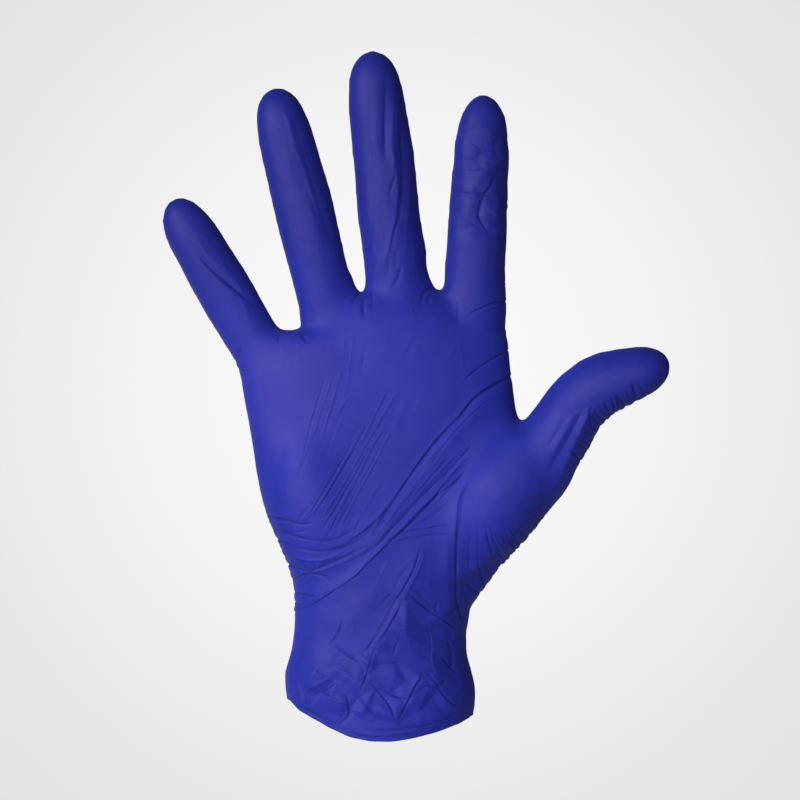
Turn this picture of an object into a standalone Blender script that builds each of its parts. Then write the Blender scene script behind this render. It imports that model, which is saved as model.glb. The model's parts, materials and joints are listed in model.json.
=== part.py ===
"""Disposable dipped glove for the right hand, in the open shape that it takes when it is worn.

One dipped film covers palm, back, digits and wrist, and ends in a rolled bead. The film is divided where it
folds: each digit is a row of stall sections that keep their shape, with crease sections between them that
stretch and fold, and a hinge runs through every crease.

Frame: +Z from the cuff to the fingertips, +X to the thumb side, -Y out of the palm. The origin is the centre
of the wrist opening, level with the lowest lip of the cuff.
"""

import math
from collections import namedtuple

import bmesh
import bpy
from mathutils import Matrix, Vector
from mathutils.bvhtree import BVHTree

MM = 0.001

# Every size below is in millimetres, and every angle in degrees.

# A dipped film is thickest at the fingers and thinnest at the cuff.
FINGER_FILM = 0.12
PALM_FILM = 0.10
CUFF_FILM = 0.08

BEAD_RADIUS = 0.9
SECTION_GAP = 0.3

# The wrist opening: its lip is lowest at the front and the back, and pulled up at both sides.
LIP_RISE_LITTLE_SIDE = 14.4
LIP_RISE_THUMB_SIDE = 9.0
LIP_HALF_WIDTH = 32.5
LIP_RISE_POWER = 2.15
CUFF_TOP = 36.0

WRIST_PIVOT_Z = 50.0
WRIST_FLEXION = 60.0
WRIST_EXTENSION = 50.0
WRIST_HALF_DEPTH = 22.0

# How far a hinge lies from the middle of its digit towards the pad, as a share of the half depth.
PIVOT_SHIFT = 0.25
CREASE_MARGIN = 0.4
LEAST_BACK_GAP = 2.2
ROOT_EXTENSION = 15.0

DIGIT_SEGMENTS = 16
DIGIT_ROWS = 2
WRIST_SEGMENTS = 32
CUFF_ROWS = 5
CREASE_ROWS = 3
LOFT_SEGMENTS = 32
VOXEL = 1.3
WEB_SMOOTHING_STEPS = 12
PALM_SMOOTHING_STEPS = 40
PALM_TRIANGLE_SHARE = 0.04
CUT_TOLERANCE = 1e-4

FILM_ROUGHNESS = 0.48
FINGER_COLOUR = (0.030, 0.030, 0.330, 1.0)
PALM_COLOUR = (0.036, 0.034, 0.360, 1.0)
CUFF_COLOUR = (0.038, 0.036, 0.375, 1.0)
BEAD_COLOUR = (0.026, 0.025, 0.280, 1.0)

# A palm level: height, little-finger side, thumb side, front (palm) depth and back depth, in millimetres.
PalmLevel = namedtuple("PalmLevel", "z left right front back square")
PALM = (
    PalmLevel(-14, -32.5, 32.0, 22.0, 22.0, 2.1),
    PalmLevel(0, -32.8, 32.4, 22.5, 22.5, 2.1),
    PalmLevel(14, -33.0, 32.4, 22.5, 22.5, 2.1),
    PalmLevel(28, -31.6, 30.9, 21.5, 21.5, 2.1),
    PalmLevel(42, -29.9, 30.0, 20.5, 20.5, 2.2),
    PalmLevel(53, -30.0, 33.0, 20.0, 20.0, 2.2),
    PalmLevel(64, -33.6, 38.0, 20.0, 19.0, 2.3),
    PalmLevel(78, -40.4, 43.0, 19.0, 18.0, 2.4),
    PalmLevel(92, -44.0, 46.0, 17.0, 17.0, 2.4),
    PalmLevel(106, -46.2, 48.8, 15.5, 16.5, 2.5),
    PalmLevel(120, -48.7, 47.4, 14.5, 15.5, 2.5),
    PalmLevel(132, -50.0, 46.0, 13.5, 14.5, 2.5),
    PalmLevel(141, -46.6, 45.2, 12.0, 13.0, 2.4),
)

# A pad is an ellipsoid of muscle under the film.
Pad = namedtuple("Pad", "name centre radii lean")
PADS = (
    Pad("thenar", (42.5, -7.5, 86.0), (17.5, 16.0, 32.0), 36.0),
    Pad("hypothenar", (-21.0, -6.5, 80.0), (17.0, 13.5, 33.0), -10.0),
    Pad("finger_roots", (5.5, -1.5, 134.0), (35.0, 12.5, 25.5), 0.0),
)

# A digit: base is the centre of its root, level with the web; lean is its angle from +Z towards +X, at the
# base and at the tip; pitch leans it out of the palm; roll turns its pad; joints are distances from the
# base; widths are half widths at the root, at each joint but the first, and at the tip; flatness is depth
# over width; inside is how far its bone and muscle go on into the palm.
Digit = namedtuple(
    "Digit", "name base lean tip_lean pitch roll length joints flexions widths flatness inside"
)
FINGER_FLEXIONS = (80.0, 90.0, 40.0)
DIGITS = (
    Digit("index", (32.7, 0.0, 156.0), 3.0, 3.0, 0.0, 0.0, 69.5, (10.0, 29.5, 48.0), FINGER_FLEXIONS,
          (10.9, 10.3, 9.8, 8.7), 0.86, 34.0),
    Digit("middle", (6.45, 0.0, 156.0), -6.8, -6.6, 0.0, 0.0, 85.4, (10.0, 35.0, 60.0), FINGER_FLEXIONS,
          (11.1, 10.9, 10.2, 9.5), 0.86, 34.0),
    Digit("ring", (-18.3, 0.0, 151.5), -13.9, -14.2, 0.0, 0.0, 78.6, (11.0, 33.5, 56.0), FINGER_FLEXIONS,
          (10.0, 10.5, 10.0, 9.2), 0.86, 32.0),
    Digit("little", (-42.9, 0.0, 137.0), -30.1, -30.3, 0.0, 0.0, 59.6, (10.0, 26.5, 43.0), FINGER_FLEXIONS,
          (9.9, 9.7, 9.4, 8.6), 0.86, 26.0),
    Digit("thumb", (58.4, -9.5, 102.0), 36.0, 72.0, 10.0, 40.0, 54.8, (9.0, 27.0), (50.0, 75.0),
          (12.8, 11.5, 9.9), 0.88, 58.0),
)
HINGE_NAMES = {2: ("root", "tip"), 3: ("root", "middle", "tip")}
STALL_NAMES = {2: ("base", "tip"), 3: ("lower", "middle", "tip")}
CAP_SHARE = 1.5
BEND_SPREAD = 11.0


def clear_scene():
    for obj in list(bpy.data.objects):
        bpy.data.objects.remove(obj)


def film_material(name, colour):
    material = bpy.data.materials.new(name)
    material.use_nodes = True
    shader = material.node_tree.nodes["Principled BSDF"]
    shader.inputs["Base Color"].default_value = colour
    shader.inputs["Roughness"].default_value = FILM_ROUGHNESS
    shader.inputs["Metallic"].default_value = 0.0
    return material


def smoothstep(low, high, value):
    t = min(1.0, max(0.0, (value - low) / (high - low)))
    return t * t * (3 - 2 * t)


def interpolate(stations, values, at):
    """The values between their stations, eased so that the profile has no corners."""
    for low, high, a, b in zip(stations, stations[1:], values, values[1:]):
        if at <= high:
            return a + (b - a) * smoothstep(low, high, at)
    return values[-1]


class Spine:
    """The centre line of a digit, as points every half millimetre with the frame of its cross-section."""

    STEP = 0.5

    def __init__(self, digit):
        self.digit = digit
        self.start = -digit.inside
        position = Vector(digit.base)
        forward = [position.copy()]
        s = 0.0
        while s < digit.length + 1:
            position = position + self.direction(s) * self.STEP
            forward.append(position.copy())
            s += self.STEP
        position = Vector(digit.base)
        backward = []
        s = 0.0
        while s > self.start:
            position = position - self.direction(s) * self.STEP
            backward.append(position.copy())
            s -= self.STEP
        self.points = backward[::-1] + forward
        self.zero = len(backward)

    def lean(self, s):
        digit = self.digit
        bend = digit.joints[-1] - 1.0
        turn = smoothstep(bend - BEND_SPREAD, bend + BEND_SPREAD, s)
        return math.radians(digit.lean + (digit.tip_lean - digit.lean) * turn)

    def direction(self, s):
        lean, pitch = self.lean(s), math.radians(self.digit.pitch)
        return Vector(
            (math.sin(lean) * math.cos(pitch), -math.sin(pitch), math.cos(lean) * math.cos(pitch))
        )

    def frame(self, s):
        """(along, across, pad): pad points out of the finger pad, and a hinge lies along across."""
        along = self.direction(s)
        side = Vector((math.cos(self.lean(s)), 0.0, -math.sin(self.lean(s))))
        front = side.cross(along).normalized()
        roll = math.radians(self.digit.roll)
        pad = (front * math.cos(roll) - side * math.sin(roll)).normalized()
        return along, along.cross(pad).normalized(), pad

    def at(self, s):
        place = min(max(s / self.STEP + self.zero, 0.0), len(self.points) - 1.001)
        low = int(place)
        return self.points[low].lerp(self.points[low + 1], place - low)

    def half_width(self, s):
        digit = self.digit
        stations = (0.0, *digit.joints[1:], digit.length - digit.widths[-1])
        full = interpolate((self.start, *stations), (digit.widths[0], *digit.widths), s)
        cap = digit.widths[-1] * CAP_SHARE
        past = (s - (digit.length - cap)) / cap
        return full * math.sqrt(max(0.0, 1 - past * past)) if past > 0 else full

    def half_depth(self, s):
        return self.half_width(s) * self.digit.flatness


def add_loft(bm, rings):
    """Adds the rings as one closed body, each end filled with a fan."""
    rows = [[bm.verts.new(p) for p in ring] for ring in rings]
    count = len(rows[0])
    for low, high in zip(rows, rows[1:]):
        for i in range(count):
            j = (i + 1) % count
            bm.faces.new((low[i], low[j], high[j], high[i]))
    bm.faces.new(rows[0][::-1])
    bm.faces.new(rows[-1])


def oval(centre, across, through, half_across, half_through, square, count=LOFT_SEGMENTS):
    """A superellipse of points round the centre; half_through is a pair, for +through and -through."""
    points = []
    for i in range(count):
        angle = 2 * math.pi * i / count
        c, s = math.cos(angle), math.sin(angle)
        u = math.copysign(abs(c) ** (2 / square), c) * half_across
        v = math.copysign(abs(s) ** (2 / square), s) * half_through[0 if s > 0 else 1]
        points.append(centre + across * u + through * v)
    return points


def palm_rings():
    across, front = Vector((1, 0, 0)), Vector((0, -1, 0))
    return [
        oval(
            Vector(((level.left + level.right) / 2, 0, level.z)),
            across,
            front,
            (level.right - level.left) / 2,
            (level.front, level.back),
            level.square,
        )
        for level in PALM
    ]


def digit_rings(spine):
    digit = spine.digit
    cap = digit.widths[-1] * CAP_SHARE
    straight = [spine.start + (digit.length - cap - spine.start) * i / 24 for i in range(25)]
    rounded = [digit.length - cap + cap * math.sin(math.radians(a)) for a in (18, 36, 52, 66, 78, 86)]
    rings = []
    for s in straight + rounded:
        along, across, pad = spine.frame(s)
        depth = spine.half_depth(s)
        rings.append(oval(spine.at(s), across, pad, spine.half_width(s), (depth, depth), 2.0))
    return rings


def pad_rings(pad):
    lean = math.radians(pad.lean)
    along = Vector((math.sin(lean), 0, math.cos(lean)))
    across = Vector((math.cos(lean), 0, -math.sin(lean)))
    rings = []
    for step in range(1, 18):
        polar = math.pi * step / 18
        centre = Vector(pad.centre) - along * pad.radii[2] * math.cos(polar)
        size = math.sin(polar)
        depth = pad.radii[1] * size
        rings.append(
            oval(centre, across, Vector((0, -1, 0)), pad.radii[0] * size, (depth, depth), 2.0)
        )
    return rings


def hand_form(spines):
    """The shape under the film: palm, muscle pads and digits joined into one smooth closed surface."""
    bm = bmesh.new()
    add_loft(bm, palm_rings())
    for pad in PADS:
        add_loft(bm, pad_rings(pad))
    for spine in spines:
        add_loft(bm, digit_rings(spine))
    bmesh.ops.recalc_face_normals(bm, faces=bm.faces)
    lofts = object_from(bm, "lofts")
    remesh = lofts.modifiers.new("join", "REMESH")
    remesh.mode = "VOXEL"
    remesh.voxel_size = VOXEL * MM
    bm = evaluated_bmesh(lofts)
    bpy.data.objects.remove(lofts)
    for _ in range(WEB_SMOOTHING_STEPS):
        smooth(bm.verts)
    for step in range(PALM_SMOOTHING_STEPS):
        low, high, right = 24.0 + 0.2 * step, 146.0 - 0.35 * step, 56.0 - 0.3 * step
        smooth([v for v in bm.verts if low < v.co.z < high and v.co.x < right])
    form = object_from(bm, "hand_form")
    form.hide_render = True
    form.display_type = "WIRE"
    return form


def smooth(verts):
    """Moves each vertex half way to the mean of its neighbours."""
    moved = [
        (v, (v.co + sum((e.other_vert(v).co for e in v.link_edges), Vector()) / len(v.link_edges)) / 2)
        for v in verts
    ]
    for vert, place in moved:
        vert.co = place


def object_from(bm, name):
    """The bmesh, modelled in millimetres, as an object in metres."""
    bmesh.ops.scale(bm, vec=(MM, MM, MM), verts=bm.verts)
    mesh = bpy.data.meshes.new(name)
    bm.to_mesh(mesh)
    bm.free()
    obj = bpy.data.objects.new(name, mesh)
    bpy.context.scene.collection.objects.link(obj)
    return obj


def evaluated_bmesh(obj):
    """The object's mesh with its modifiers, in millimetres."""
    bpy.context.view_layer.update()
    evaluated = obj.evaluated_get(bpy.context.evaluated_depsgraph_get())
    bm = bmesh.new()
    bm.from_mesh(evaluated.to_mesh())
    evaluated.to_mesh_clear()
    bmesh.ops.scale(bm, vec=(1 / MM, 1 / MM, 1 / MM), verts=bm.verts)
    return bm


def hang_on(obj, hinge):
    """Parents the object to a hinge: its origin moves to the hinge's axis, and its shape stays in place."""
    obj.data.transform(hinge.matrix_world.inverted())
    obj.parent = hinge


def film_object(bm, name, thickness, material, hinge):
    """An open surface as a solid film: its outer face is the surface, and its thickness goes inwards."""
    obj = object_from(bm, name)
    obj.data.materials.append(material)
    obj.data.shade_smooth()
    film = obj.modifiers.new("film", "SOLIDIFY")
    film.thickness = thickness * MM
    film.offset = -1
    film.use_even_offset = True
    film.use_rim = True
    if hinge:
        hang_on(obj, hinge)
    return obj


def surface_of_rings(rings):
    """A tube through the rings; a last ring of a single point closes it."""
    bm = bmesh.new()
    rows = [[bm.verts.new(p) for p in ring] for ring in rings]
    for low, high in zip(rows, rows[1:]):
        count = len(low)
        for i in range(count):
            j = (i + 1) % count
            if len(high) == 1:
                bm.faces.new((low[i], low[j], high[0]))
            else:
                bm.faces.new((low[i], low[j], high[j], high[i]))
    return bm


def round_angles(count):
    return [2 * math.pi * i / count for i in range(count)]


def make_hinge(name, pivot, across, along, parent):
    """An empty on a hinge: it turns about its own X axis, and its Z axis runs along the digit."""
    hinge = bpy.data.objects.new(name, None)
    bpy.context.scene.collection.objects.link(hinge)
    hinge.empty_display_size = 10 * MM
    through = along.cross(across).normalized()
    turn = Matrix((across, through, along)).transposed().to_4x4()
    place = Matrix.Translation(pivot * MM) @ turn
    hinge.parent = parent
    if parent:
        place = parent.matrix_world.inverted() @ place
    hinge.matrix_basis = place
    bpy.context.view_layer.update()
    return hinge


class Crease:
    """Where a digit folds: a hinge, and two slanted planes that part the crease from its neighbours."""

    def __init__(self, spine, s, flexion):
        self.s = s
        self.along, self.across, self.pad = spine.frame(s)
        depth = spine.half_depth(s)
        self.middle = spine.at(s)
        self.pivot = self.middle + self.pad * depth * PIVOT_SHIFT
        pad_gap = depth * (1 - PIVOT_SHIFT) * math.tan(math.radians(flexion / 2)) + CREASE_MARGIN
        back_gap = depth * (1 + PIVOT_SHIFT) * math.tan(math.radians(ROOT_EXTENSION / 2)) + CREASE_MARGIN
        back_gap = max(back_gap, LEAST_BACK_GAP)
        self.half = (pad_gap + back_gap) / 2
        self.slope = (pad_gap - back_gap) / 2 / depth

    def edge(self, side, inset):
        """The edge on the palm's side (-1) or the tip's side (+1), as a distance along the digit.

        It is a function of the distance towards the pad. An inset moves it towards the hinge.
        """

        def along_digit(pad_distance):
            return self.s + side * (self.half + self.slope * pad_distance - inset)

        return along_digit

    def palm_plane(self):
        """(point, normal towards the tip) of the plane where the palm's film ends."""
        point = self.middle - self.along * (self.half + SECTION_GAP / 2)
        return point, (self.along + self.pad * self.slope).normalized()


def ring_between(spine, surface, low, high, share):
    """A ring of surface points, at a share of the way from one slanted boundary to the other.

    low and high are edges: functions that give a distance along the digit for a distance towards the pad.
    """
    points = []
    for angle in round_angles(DIGIT_SEGMENTS):
        radius = spine.half_width(low(0.0))
        point = None
        for _ in range(4):
            toward_pad = radius * math.sin(angle)
            s = low(toward_pad) + (high(toward_pad) - low(toward_pad)) * share
            _, across, pad = spine.frame(s)
            centre = spine.at(s)
            ray = across * math.cos(angle) + pad * math.sin(angle)
            point = surface.ray_cast(centre, ray)[0]
            radius = (point - centre).length
        points.append(point)
    return points


def tip_rings(spine, surface, low):
    """Rings from the edge low up to the fingertip, which is the single point of the last one."""
    start = spine.digit.length - spine.digit.widths[-1]
    centre = spine.at(start)
    along, across, pad = spine.frame(start)
    rings = [
        ring_between(spine, surface, low, lambda _: start, row / DIGIT_ROWS) for row in range(DIGIT_ROWS + 1)
    ]
    for rise in (18, 36, 54, 72):
        ring = []
        for angle in round_angles(DIGIT_SEGMENTS):
            outwards = across * math.cos(angle) + pad * math.sin(angle)
            ray = outwards * math.cos(math.radians(rise)) + along * math.sin(math.radians(rise))
            ring.append(surface.ray_cast(centre, ray)[0])
        rings.append(ring)
    rings.append([surface.ray_cast(centre, along)[0]])
    return rings


def make_digit(spine, creases, surface, material, palm_hinge):
    """The crease and stall sections of one digit, from its root to its tip, each on its hinge."""
    name = spine.digit.name
    hinge_names, stall_names = HINGE_NAMES[len(creases)], STALL_NAMES[len(creases)]
    half_gap = SECTION_GAP / 2
    hinge = palm_hinge
    for index, crease in enumerate(creases):
        low, high = crease.edge(-1, half_gap), crease.edge(1, half_gap)
        rings = [
            ring_between(spine, surface, low, high, row / DIGIT_ROWS) for row in range(DIGIT_ROWS + 1)
        ]
        crease_name = f"{name}_{hinge_names[index]}_crease"
        film_object(surface_of_rings(rings), crease_name, FINGER_FILM, material, hinge)

        hinge_name = f"{name}_{hinge_names[index]}_hinge"
        hinge = make_hinge(hinge_name, crease.pivot, crease.across, crease.along, hinge)
        low = crease.edge(1, -half_gap)
        if index + 1 < len(creases):
            high = creases[index + 1].edge(-1, -half_gap)
            rings = [
                ring_between(spine, surface, low, high, row / DIGIT_ROWS) for row in range(DIGIT_ROWS + 1)
            ]
        else:
            rings = tip_rings(spine, surface, low)
        stall_name = f"{name}_{stall_names[index]}_stall"
        film_object(surface_of_rings(rings), stall_name, FINGER_FILM, material, hinge)


def faces_near_root(bm, spines, spine):
    """The faces round a digit's root that lie closer to its spine than to any other digit's."""
    low, high = -8.0, spine.digit.joints[1]
    stations = [low + (high - low) * i / 12 for i in range(13)]
    own = [spine.at(s) for s in stations]
    others = [other.at(s) for other in spines if other is not spine for s in stations]
    found = []
    for face in bm.faces:
        centre = face.calc_center_median()
        nearest = min((centre - p).length for p in own)
        if nearest < 2 * spine.digit.widths[0] and nearest < min((centre - p).length for p in others):
            found.append(face)
    return found


def cut_off_digit(bm, spines, spine, plane):
    """Removes the digit beyond the plane, and nothing of its neighbours."""
    point, normal = plane
    faces = faces_near_root(bm, spines, spine)
    edges = {edge for face in faces for edge in face.edges}
    verts = {vert for face in faces for vert in face.verts}
    bmesh.ops.bisect_plane(
        bm, geom=[*verts, *edges, *faces], plane_co=point, plane_no=normal, dist=CUT_TOLERANCE
    )
    tip = spine.at(spine.digit.length)
    first = min(bm.faces, key=lambda face: (face.calc_center_median() - tip).length)
    doomed, front = {first}, [first]
    while front:
        for edge in front.pop().edges:
            for face in edge.link_faces:
                if face not in doomed and (face.calc_center_median() - point).dot(normal) > 0:
                    doomed.add(face)
                    front.append(face)
    bmesh.ops.delete(bm, geom=list(doomed), context="FACES")


def wrist_plane(side, shift):
    """The plane under (-1) or over (+1) the wrist crease, slanted because it bends further forwards."""
    front = WRIST_HALF_DEPTH * math.tan(math.radians(WRIST_FLEXION / 2)) + CREASE_MARGIN
    back = WRIST_HALF_DEPTH * math.tan(math.radians(WRIST_EXTENSION / 2)) + CREASE_MARGIN
    half = (front + back) / 2
    slope = (front - back) / 2 / WRIST_HALF_DEPTH
    point = Vector((0, 0, WRIST_PIVOT_Z + side * half + shift))
    return point, Vector((0, side * slope, 1)).normalized()


def height_on(plane, y):
    point, normal = plane
    return point.z - normal.y * (y - point.y) / normal.z


def lip_rise(x):
    """How far the lip of the cuff is pulled up at that distance from its middle."""
    rise = LIP_RISE_LITTLE_SIDE if x < 0 else LIP_RISE_THUMB_SIDE
    return rise * (abs(x) / LIP_HALF_WIDTH) ** LIP_RISE_POWER


def lip_height(point, level):
    """The height that a point of the cuff takes when its level is pulled up with the lip."""
    return level + lip_rise(point.x) * (1 - smoothstep(0, CUFF_TOP, level))


def wrist_ring(surface, height_of):
    """A ring of surface points round the wrist; height_of gives the height for a distance along Y."""
    points = []
    for angle in round_angles(WRIST_SEGMENTS):
        ray = Vector((math.cos(angle), math.sin(angle), 0))
        y = 0.0
        for _ in range(4):
            point = surface.ray_cast(Vector((0, 0, height_of(y))), ray)[0]
            y = point.y
        points.append(point)
    return points


def make_cuff_sleeve(surface, material):
    """The sleeve from the bead to the wrist crease."""
    top = wrist_plane(-1, -SECTION_GAP / 2)
    bottom = 2 * BEAD_RADIUS + SECTION_GAP
    rings = []
    for row in range(CUFF_ROWS + 1):
        share = row / CUFF_ROWS
        ring = wrist_ring(surface, lambda y: bottom + (height_on(top, y) - bottom) * share)
        for point in ring:
            point.z = lip_height(point, point.z)
        rings.append(ring)
    film_object(surface_of_rings(rings), "cuff_sleeve", CUFF_FILM, material, None)


def make_cuff_bead(surface, material):
    """The rolled edge, a closed ring along the lip."""
    ring = wrist_ring(surface, lambda _: BEAD_RADIUS)
    curve = bpy.data.curves.new("cuff_bead", "CURVE")
    curve.dimensions = "3D"
    curve.bevel_depth = BEAD_RADIUS * MM
    curve.bevel_resolution = 2
    spline = curve.splines.new("POLY")
    spline.points.add(len(ring) - 1)
    spline.use_cyclic_u = True
    for place, point in zip(spline.points, ring):
        place.co = (point.x * MM, point.y * MM, lip_height(point, point.z) * MM, 1.0)
    curve.materials.append(material)
    bead = bpy.data.objects.new("cuff_bead", curve)
    bpy.context.scene.collection.objects.link(bead)


def make_wrist_crease(surface, material):
    """The band that folds as the wrist bends."""
    low = wrist_plane(-1, SECTION_GAP / 2)
    high = wrist_plane(1, -SECTION_GAP / 2)
    rings = []
    for row in range(CREASE_ROWS + 1):
        share = row / CREASE_ROWS
        rings.append(
            wrist_ring(surface, lambda y: height_on(low, y) * (1 - share) + height_on(high, y) * share)
        )
    film_object(surface_of_rings(rings), "wrist_crease", CUFF_FILM, material, None)


def make_palm(form, spines, root_creases, material, hinge):
    """The film over palm and back, open at the wrist and at the root of each digit."""
    fewer = form.modifiers.new("fewer_faces", "DECIMATE")
    fewer.ratio = PALM_TRIANGLE_SHARE
    bm = evaluated_bmesh(form)
    form.modifiers.remove(fewer)
    for spine, crease in zip(spines, root_creases):
        cut_off_digit(bm, spines, spine, crease.palm_plane())
    point, normal = wrist_plane(1, SECTION_GAP / 2)
    bmesh.ops.bisect_plane(
        bm,
        geom=[*bm.verts, *bm.edges, *bm.faces],
        plane_co=point,
        plane_no=normal,
        dist=CUT_TOLERANCE,
        clear_inner=True,
    )
    loose = [v for v in bm.verts if not v.link_faces]
    bmesh.ops.delete(bm, geom=loose, context="VERTS")
    film_object(bm, "palm_shell", PALM_FILM, material, hinge)


def main():
    """Builds the glove, and returns the spine and the creases of each digit."""
    clear_scene()
    finger_film = film_material("finger_film", FINGER_COLOUR)
    palm_film = film_material("palm_film", PALM_COLOUR)
    cuff_film = film_material("cuff_film", CUFF_COLOUR)
    bead = film_material("bead", BEAD_COLOUR)

    spines = [Spine(digit) for digit in DIGITS]
    creases = [
        [Crease(spine, s, flexion) for s, flexion in zip(spine.digit.joints, spine.digit.flexions)]
        for spine in spines
    ]
    form = hand_form(spines)
    fine_form = evaluated_bmesh(form)
    surface = BVHTree.FromBMesh(fine_form)
    fine_form.free()

    make_cuff_bead(surface, bead)
    make_cuff_sleeve(surface, cuff_film)
    make_wrist_crease(surface, cuff_film)
    wrist_pivot = Vector((0, 0, WRIST_PIVOT_Z))
    wrist_hinge = make_hinge("wrist_hinge", wrist_pivot, Vector((1, 0, 0)), Vector((0, 0, 1)), None)
    make_palm(form, spines, [row[0] for row in creases], palm_film, wrist_hinge)
    for spine, row in zip(spines, creases):
        make_digit(spine, row, surface, finger_film, wrist_hinge)
    return spines, creases


if __name__ == "__main__":
    main()
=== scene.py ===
"""The looks of a disposable nitrile glove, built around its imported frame.

The film is made as one continuous surface. It is grown from the outer faces of the frame's film nodes,
sculpted with the folds and creases of a worn glove, and then parted into the pieces that follow the frame's
bodies. Lengths are in millimetres, and MM turns them into metres, unless a comment says otherwise.
"""

import json
import math
from collections import namedtuple
from contextlib import contextmanager

import bmesh
import bpy
import numpy as np
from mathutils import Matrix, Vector
from mathutils.geometry import delaunay_2d_cdt


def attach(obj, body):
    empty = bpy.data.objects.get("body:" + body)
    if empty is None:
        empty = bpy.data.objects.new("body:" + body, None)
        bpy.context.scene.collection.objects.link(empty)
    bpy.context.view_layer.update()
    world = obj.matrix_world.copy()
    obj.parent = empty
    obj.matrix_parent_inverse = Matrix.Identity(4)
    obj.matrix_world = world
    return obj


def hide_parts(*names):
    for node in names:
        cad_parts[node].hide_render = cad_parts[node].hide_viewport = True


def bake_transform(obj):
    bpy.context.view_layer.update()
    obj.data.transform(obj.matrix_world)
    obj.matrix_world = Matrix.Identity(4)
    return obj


MM = 0.001

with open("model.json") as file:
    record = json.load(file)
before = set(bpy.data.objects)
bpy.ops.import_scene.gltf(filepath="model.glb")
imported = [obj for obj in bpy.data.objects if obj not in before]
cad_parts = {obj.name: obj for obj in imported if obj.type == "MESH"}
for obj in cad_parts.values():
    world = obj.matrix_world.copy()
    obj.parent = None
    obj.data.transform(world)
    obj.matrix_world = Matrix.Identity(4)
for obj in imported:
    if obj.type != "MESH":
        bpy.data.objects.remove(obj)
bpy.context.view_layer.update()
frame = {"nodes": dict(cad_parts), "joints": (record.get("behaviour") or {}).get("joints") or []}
joints = {joint["name"]: joint for joint in frame["joints"]}

# --- The camera's place, which the folds of the palm side are laid out for ---

CAMERA_DISTANCE = 2500.0
VIEW_CENTRE = (7.0, 118.6)
VIEW_WIDTH = 279.0
SENSOR = 36.0

# --- Reading and writing ---


def rows(text, width):
    """The numbers of a text, with that many in each row. Lines that start with # are left out."""
    lines = [line for line in text.splitlines() if not line.startswith("#")]
    return np.array([float(word) for word in " ".join(lines).split()]).reshape(-1, width)


def read(items, name, width=1, kind=np.float32):
    """One property of every item, as an array."""
    values = np.empty(len(items) * width, kind)
    items.foreach_get(name, values)
    return values.reshape(-1, width) if width > 1 else values


def points_of(mesh):
    return read(mesh.vertices, "co", 3).astype(float)


def set_points(mesh, points):
    mesh.vertices.foreach_set("co", points.ravel())
    mesh.update()


def normals_of(mesh):
    return read(mesh.vertex_normals, "vector", 3).astype(float)


def edges_of(mesh):
    return read(mesh.edges, "vertices", 2, np.int32)


def centres_of(mesh):
    return read(mesh.polygons, "center", 3).astype(float)


@contextmanager
def editing(mesh):
    """The mesh as a bmesh, which is written back at the end."""
    bm = bmesh.new()
    bm.from_mesh(mesh)
    bm.edges.ensure_lookup_table()
    bm.faces.ensure_lookup_table()
    yield bm
    bm.to_mesh(mesh)
    bm.free()


def face_outwards(mesh):
    with editing(mesh) as bm:
        bmesh.ops.recalc_face_normals(bm, faces=bm.faces)


def placed(name, data):
    """A new object in the scene."""
    obj = bpy.data.objects.new(name, data)
    bpy.context.scene.collection.objects.link(obj)
    return obj


def new_object(name, vertices, faces):
    mesh = bpy.data.meshes.new(name)
    mesh.from_pydata(vertices, [], faces)
    return placed(name, mesh)


# --- The digits, for folds and for parting ---

Digit = namedtuple("Digit", "name root along length")


def make_digit(name, second):
    root = np.array(joints[name + "_root_bend"]["pos_m"]) / MM
    other = np.array(joints[name + "_" + second + "_bend"]["pos_m"]) / MM
    span = np.linalg.norm(other - root)
    return Digit(name, root, (other - root) / span, span)


FINGERS = ("index", "middle", "ring", "little")
digits = {name: make_digit(name, "middle") for name in FINGERS}
digits["thumb"] = make_digit("thumb", "tip")

# --- The base surface, from the frame's own film nodes ---

VOXEL = 1.2
SHARP_EDGE = math.radians(60)
WELD_DISTANCE = 0.002
CUFF_SKIRT = 9.0
FILM_RISE = 0.10
SMOOTHING_ROUNDS = 14
STEP_IN, STEP_OUT = 0.6, -0.62


def smoothstep(low, high, value):
    t = np.clip((value - low) / (high - low), 0, 1)
    return t * t * (3 - 2 * t)


def node_bmesh(name):
    """A frame node's mesh in millimetres, with its doubled vertices welded."""
    bm = bmesh.new()
    bm.from_mesh(frame["nodes"][name].data)
    bmesh.ops.scale(bm, vec=(1 / MM, 1 / MM, 1 / MM), verts=bm.verts)
    bmesh.ops.remove_doubles(bm, verts=bm.verts, dist=WELD_DISTANCE)
    return bm


def outer_faces(bm):
    """The faces of a film's outer side: the largest patch that no sharp edge divides."""
    left = set(bm.faces)
    best, best_area = [], 0.0
    while left:
        patch = [left.pop()]
        for face in patch:
            for edge in face.edges:
                for other in edge.link_faces:
                    if other in left and edge.calc_face_angle(math.pi) < SHARP_EDGE:
                        left.remove(other)
                        patch.append(other)
        area = sum(face.calc_area() for face in patch)
        if area > best_area:
            best, best_area = patch, area
    return best


def close_sleeve(patch, index, vertices, faces):
    """Carries the sleeve's lower edge straight down and caps it, which leaves the whole surface closed."""
    chosen = set(patch)
    edges = [e for e in {e for f in patch for e in f.edges} if len(chosen.intersection(e.link_faces)) == 1]
    middle = sum(e.verts[0].co.z for e in edges) / len(edges)
    rim = [e for e in edges if e.verts[0].co.z < middle]
    low = min(v.co.z for e in rim for v in e.verts) - CUFF_SKIRT
    hub = len(vertices)
    vertices.append((0, 0, low))
    skirt = {}
    for edge in rim:
        for vert in edge.verts:
            if vert not in skirt:
                skirt[vert] = len(vertices)
                vertices.append((vert.co.x, vert.co.y, low))
        a, b = edge.verts
        faces.append([index[a], index[b], skirt[b], skirt[a]])
        faces.append([skirt[a], skirt[b], hub])


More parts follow.
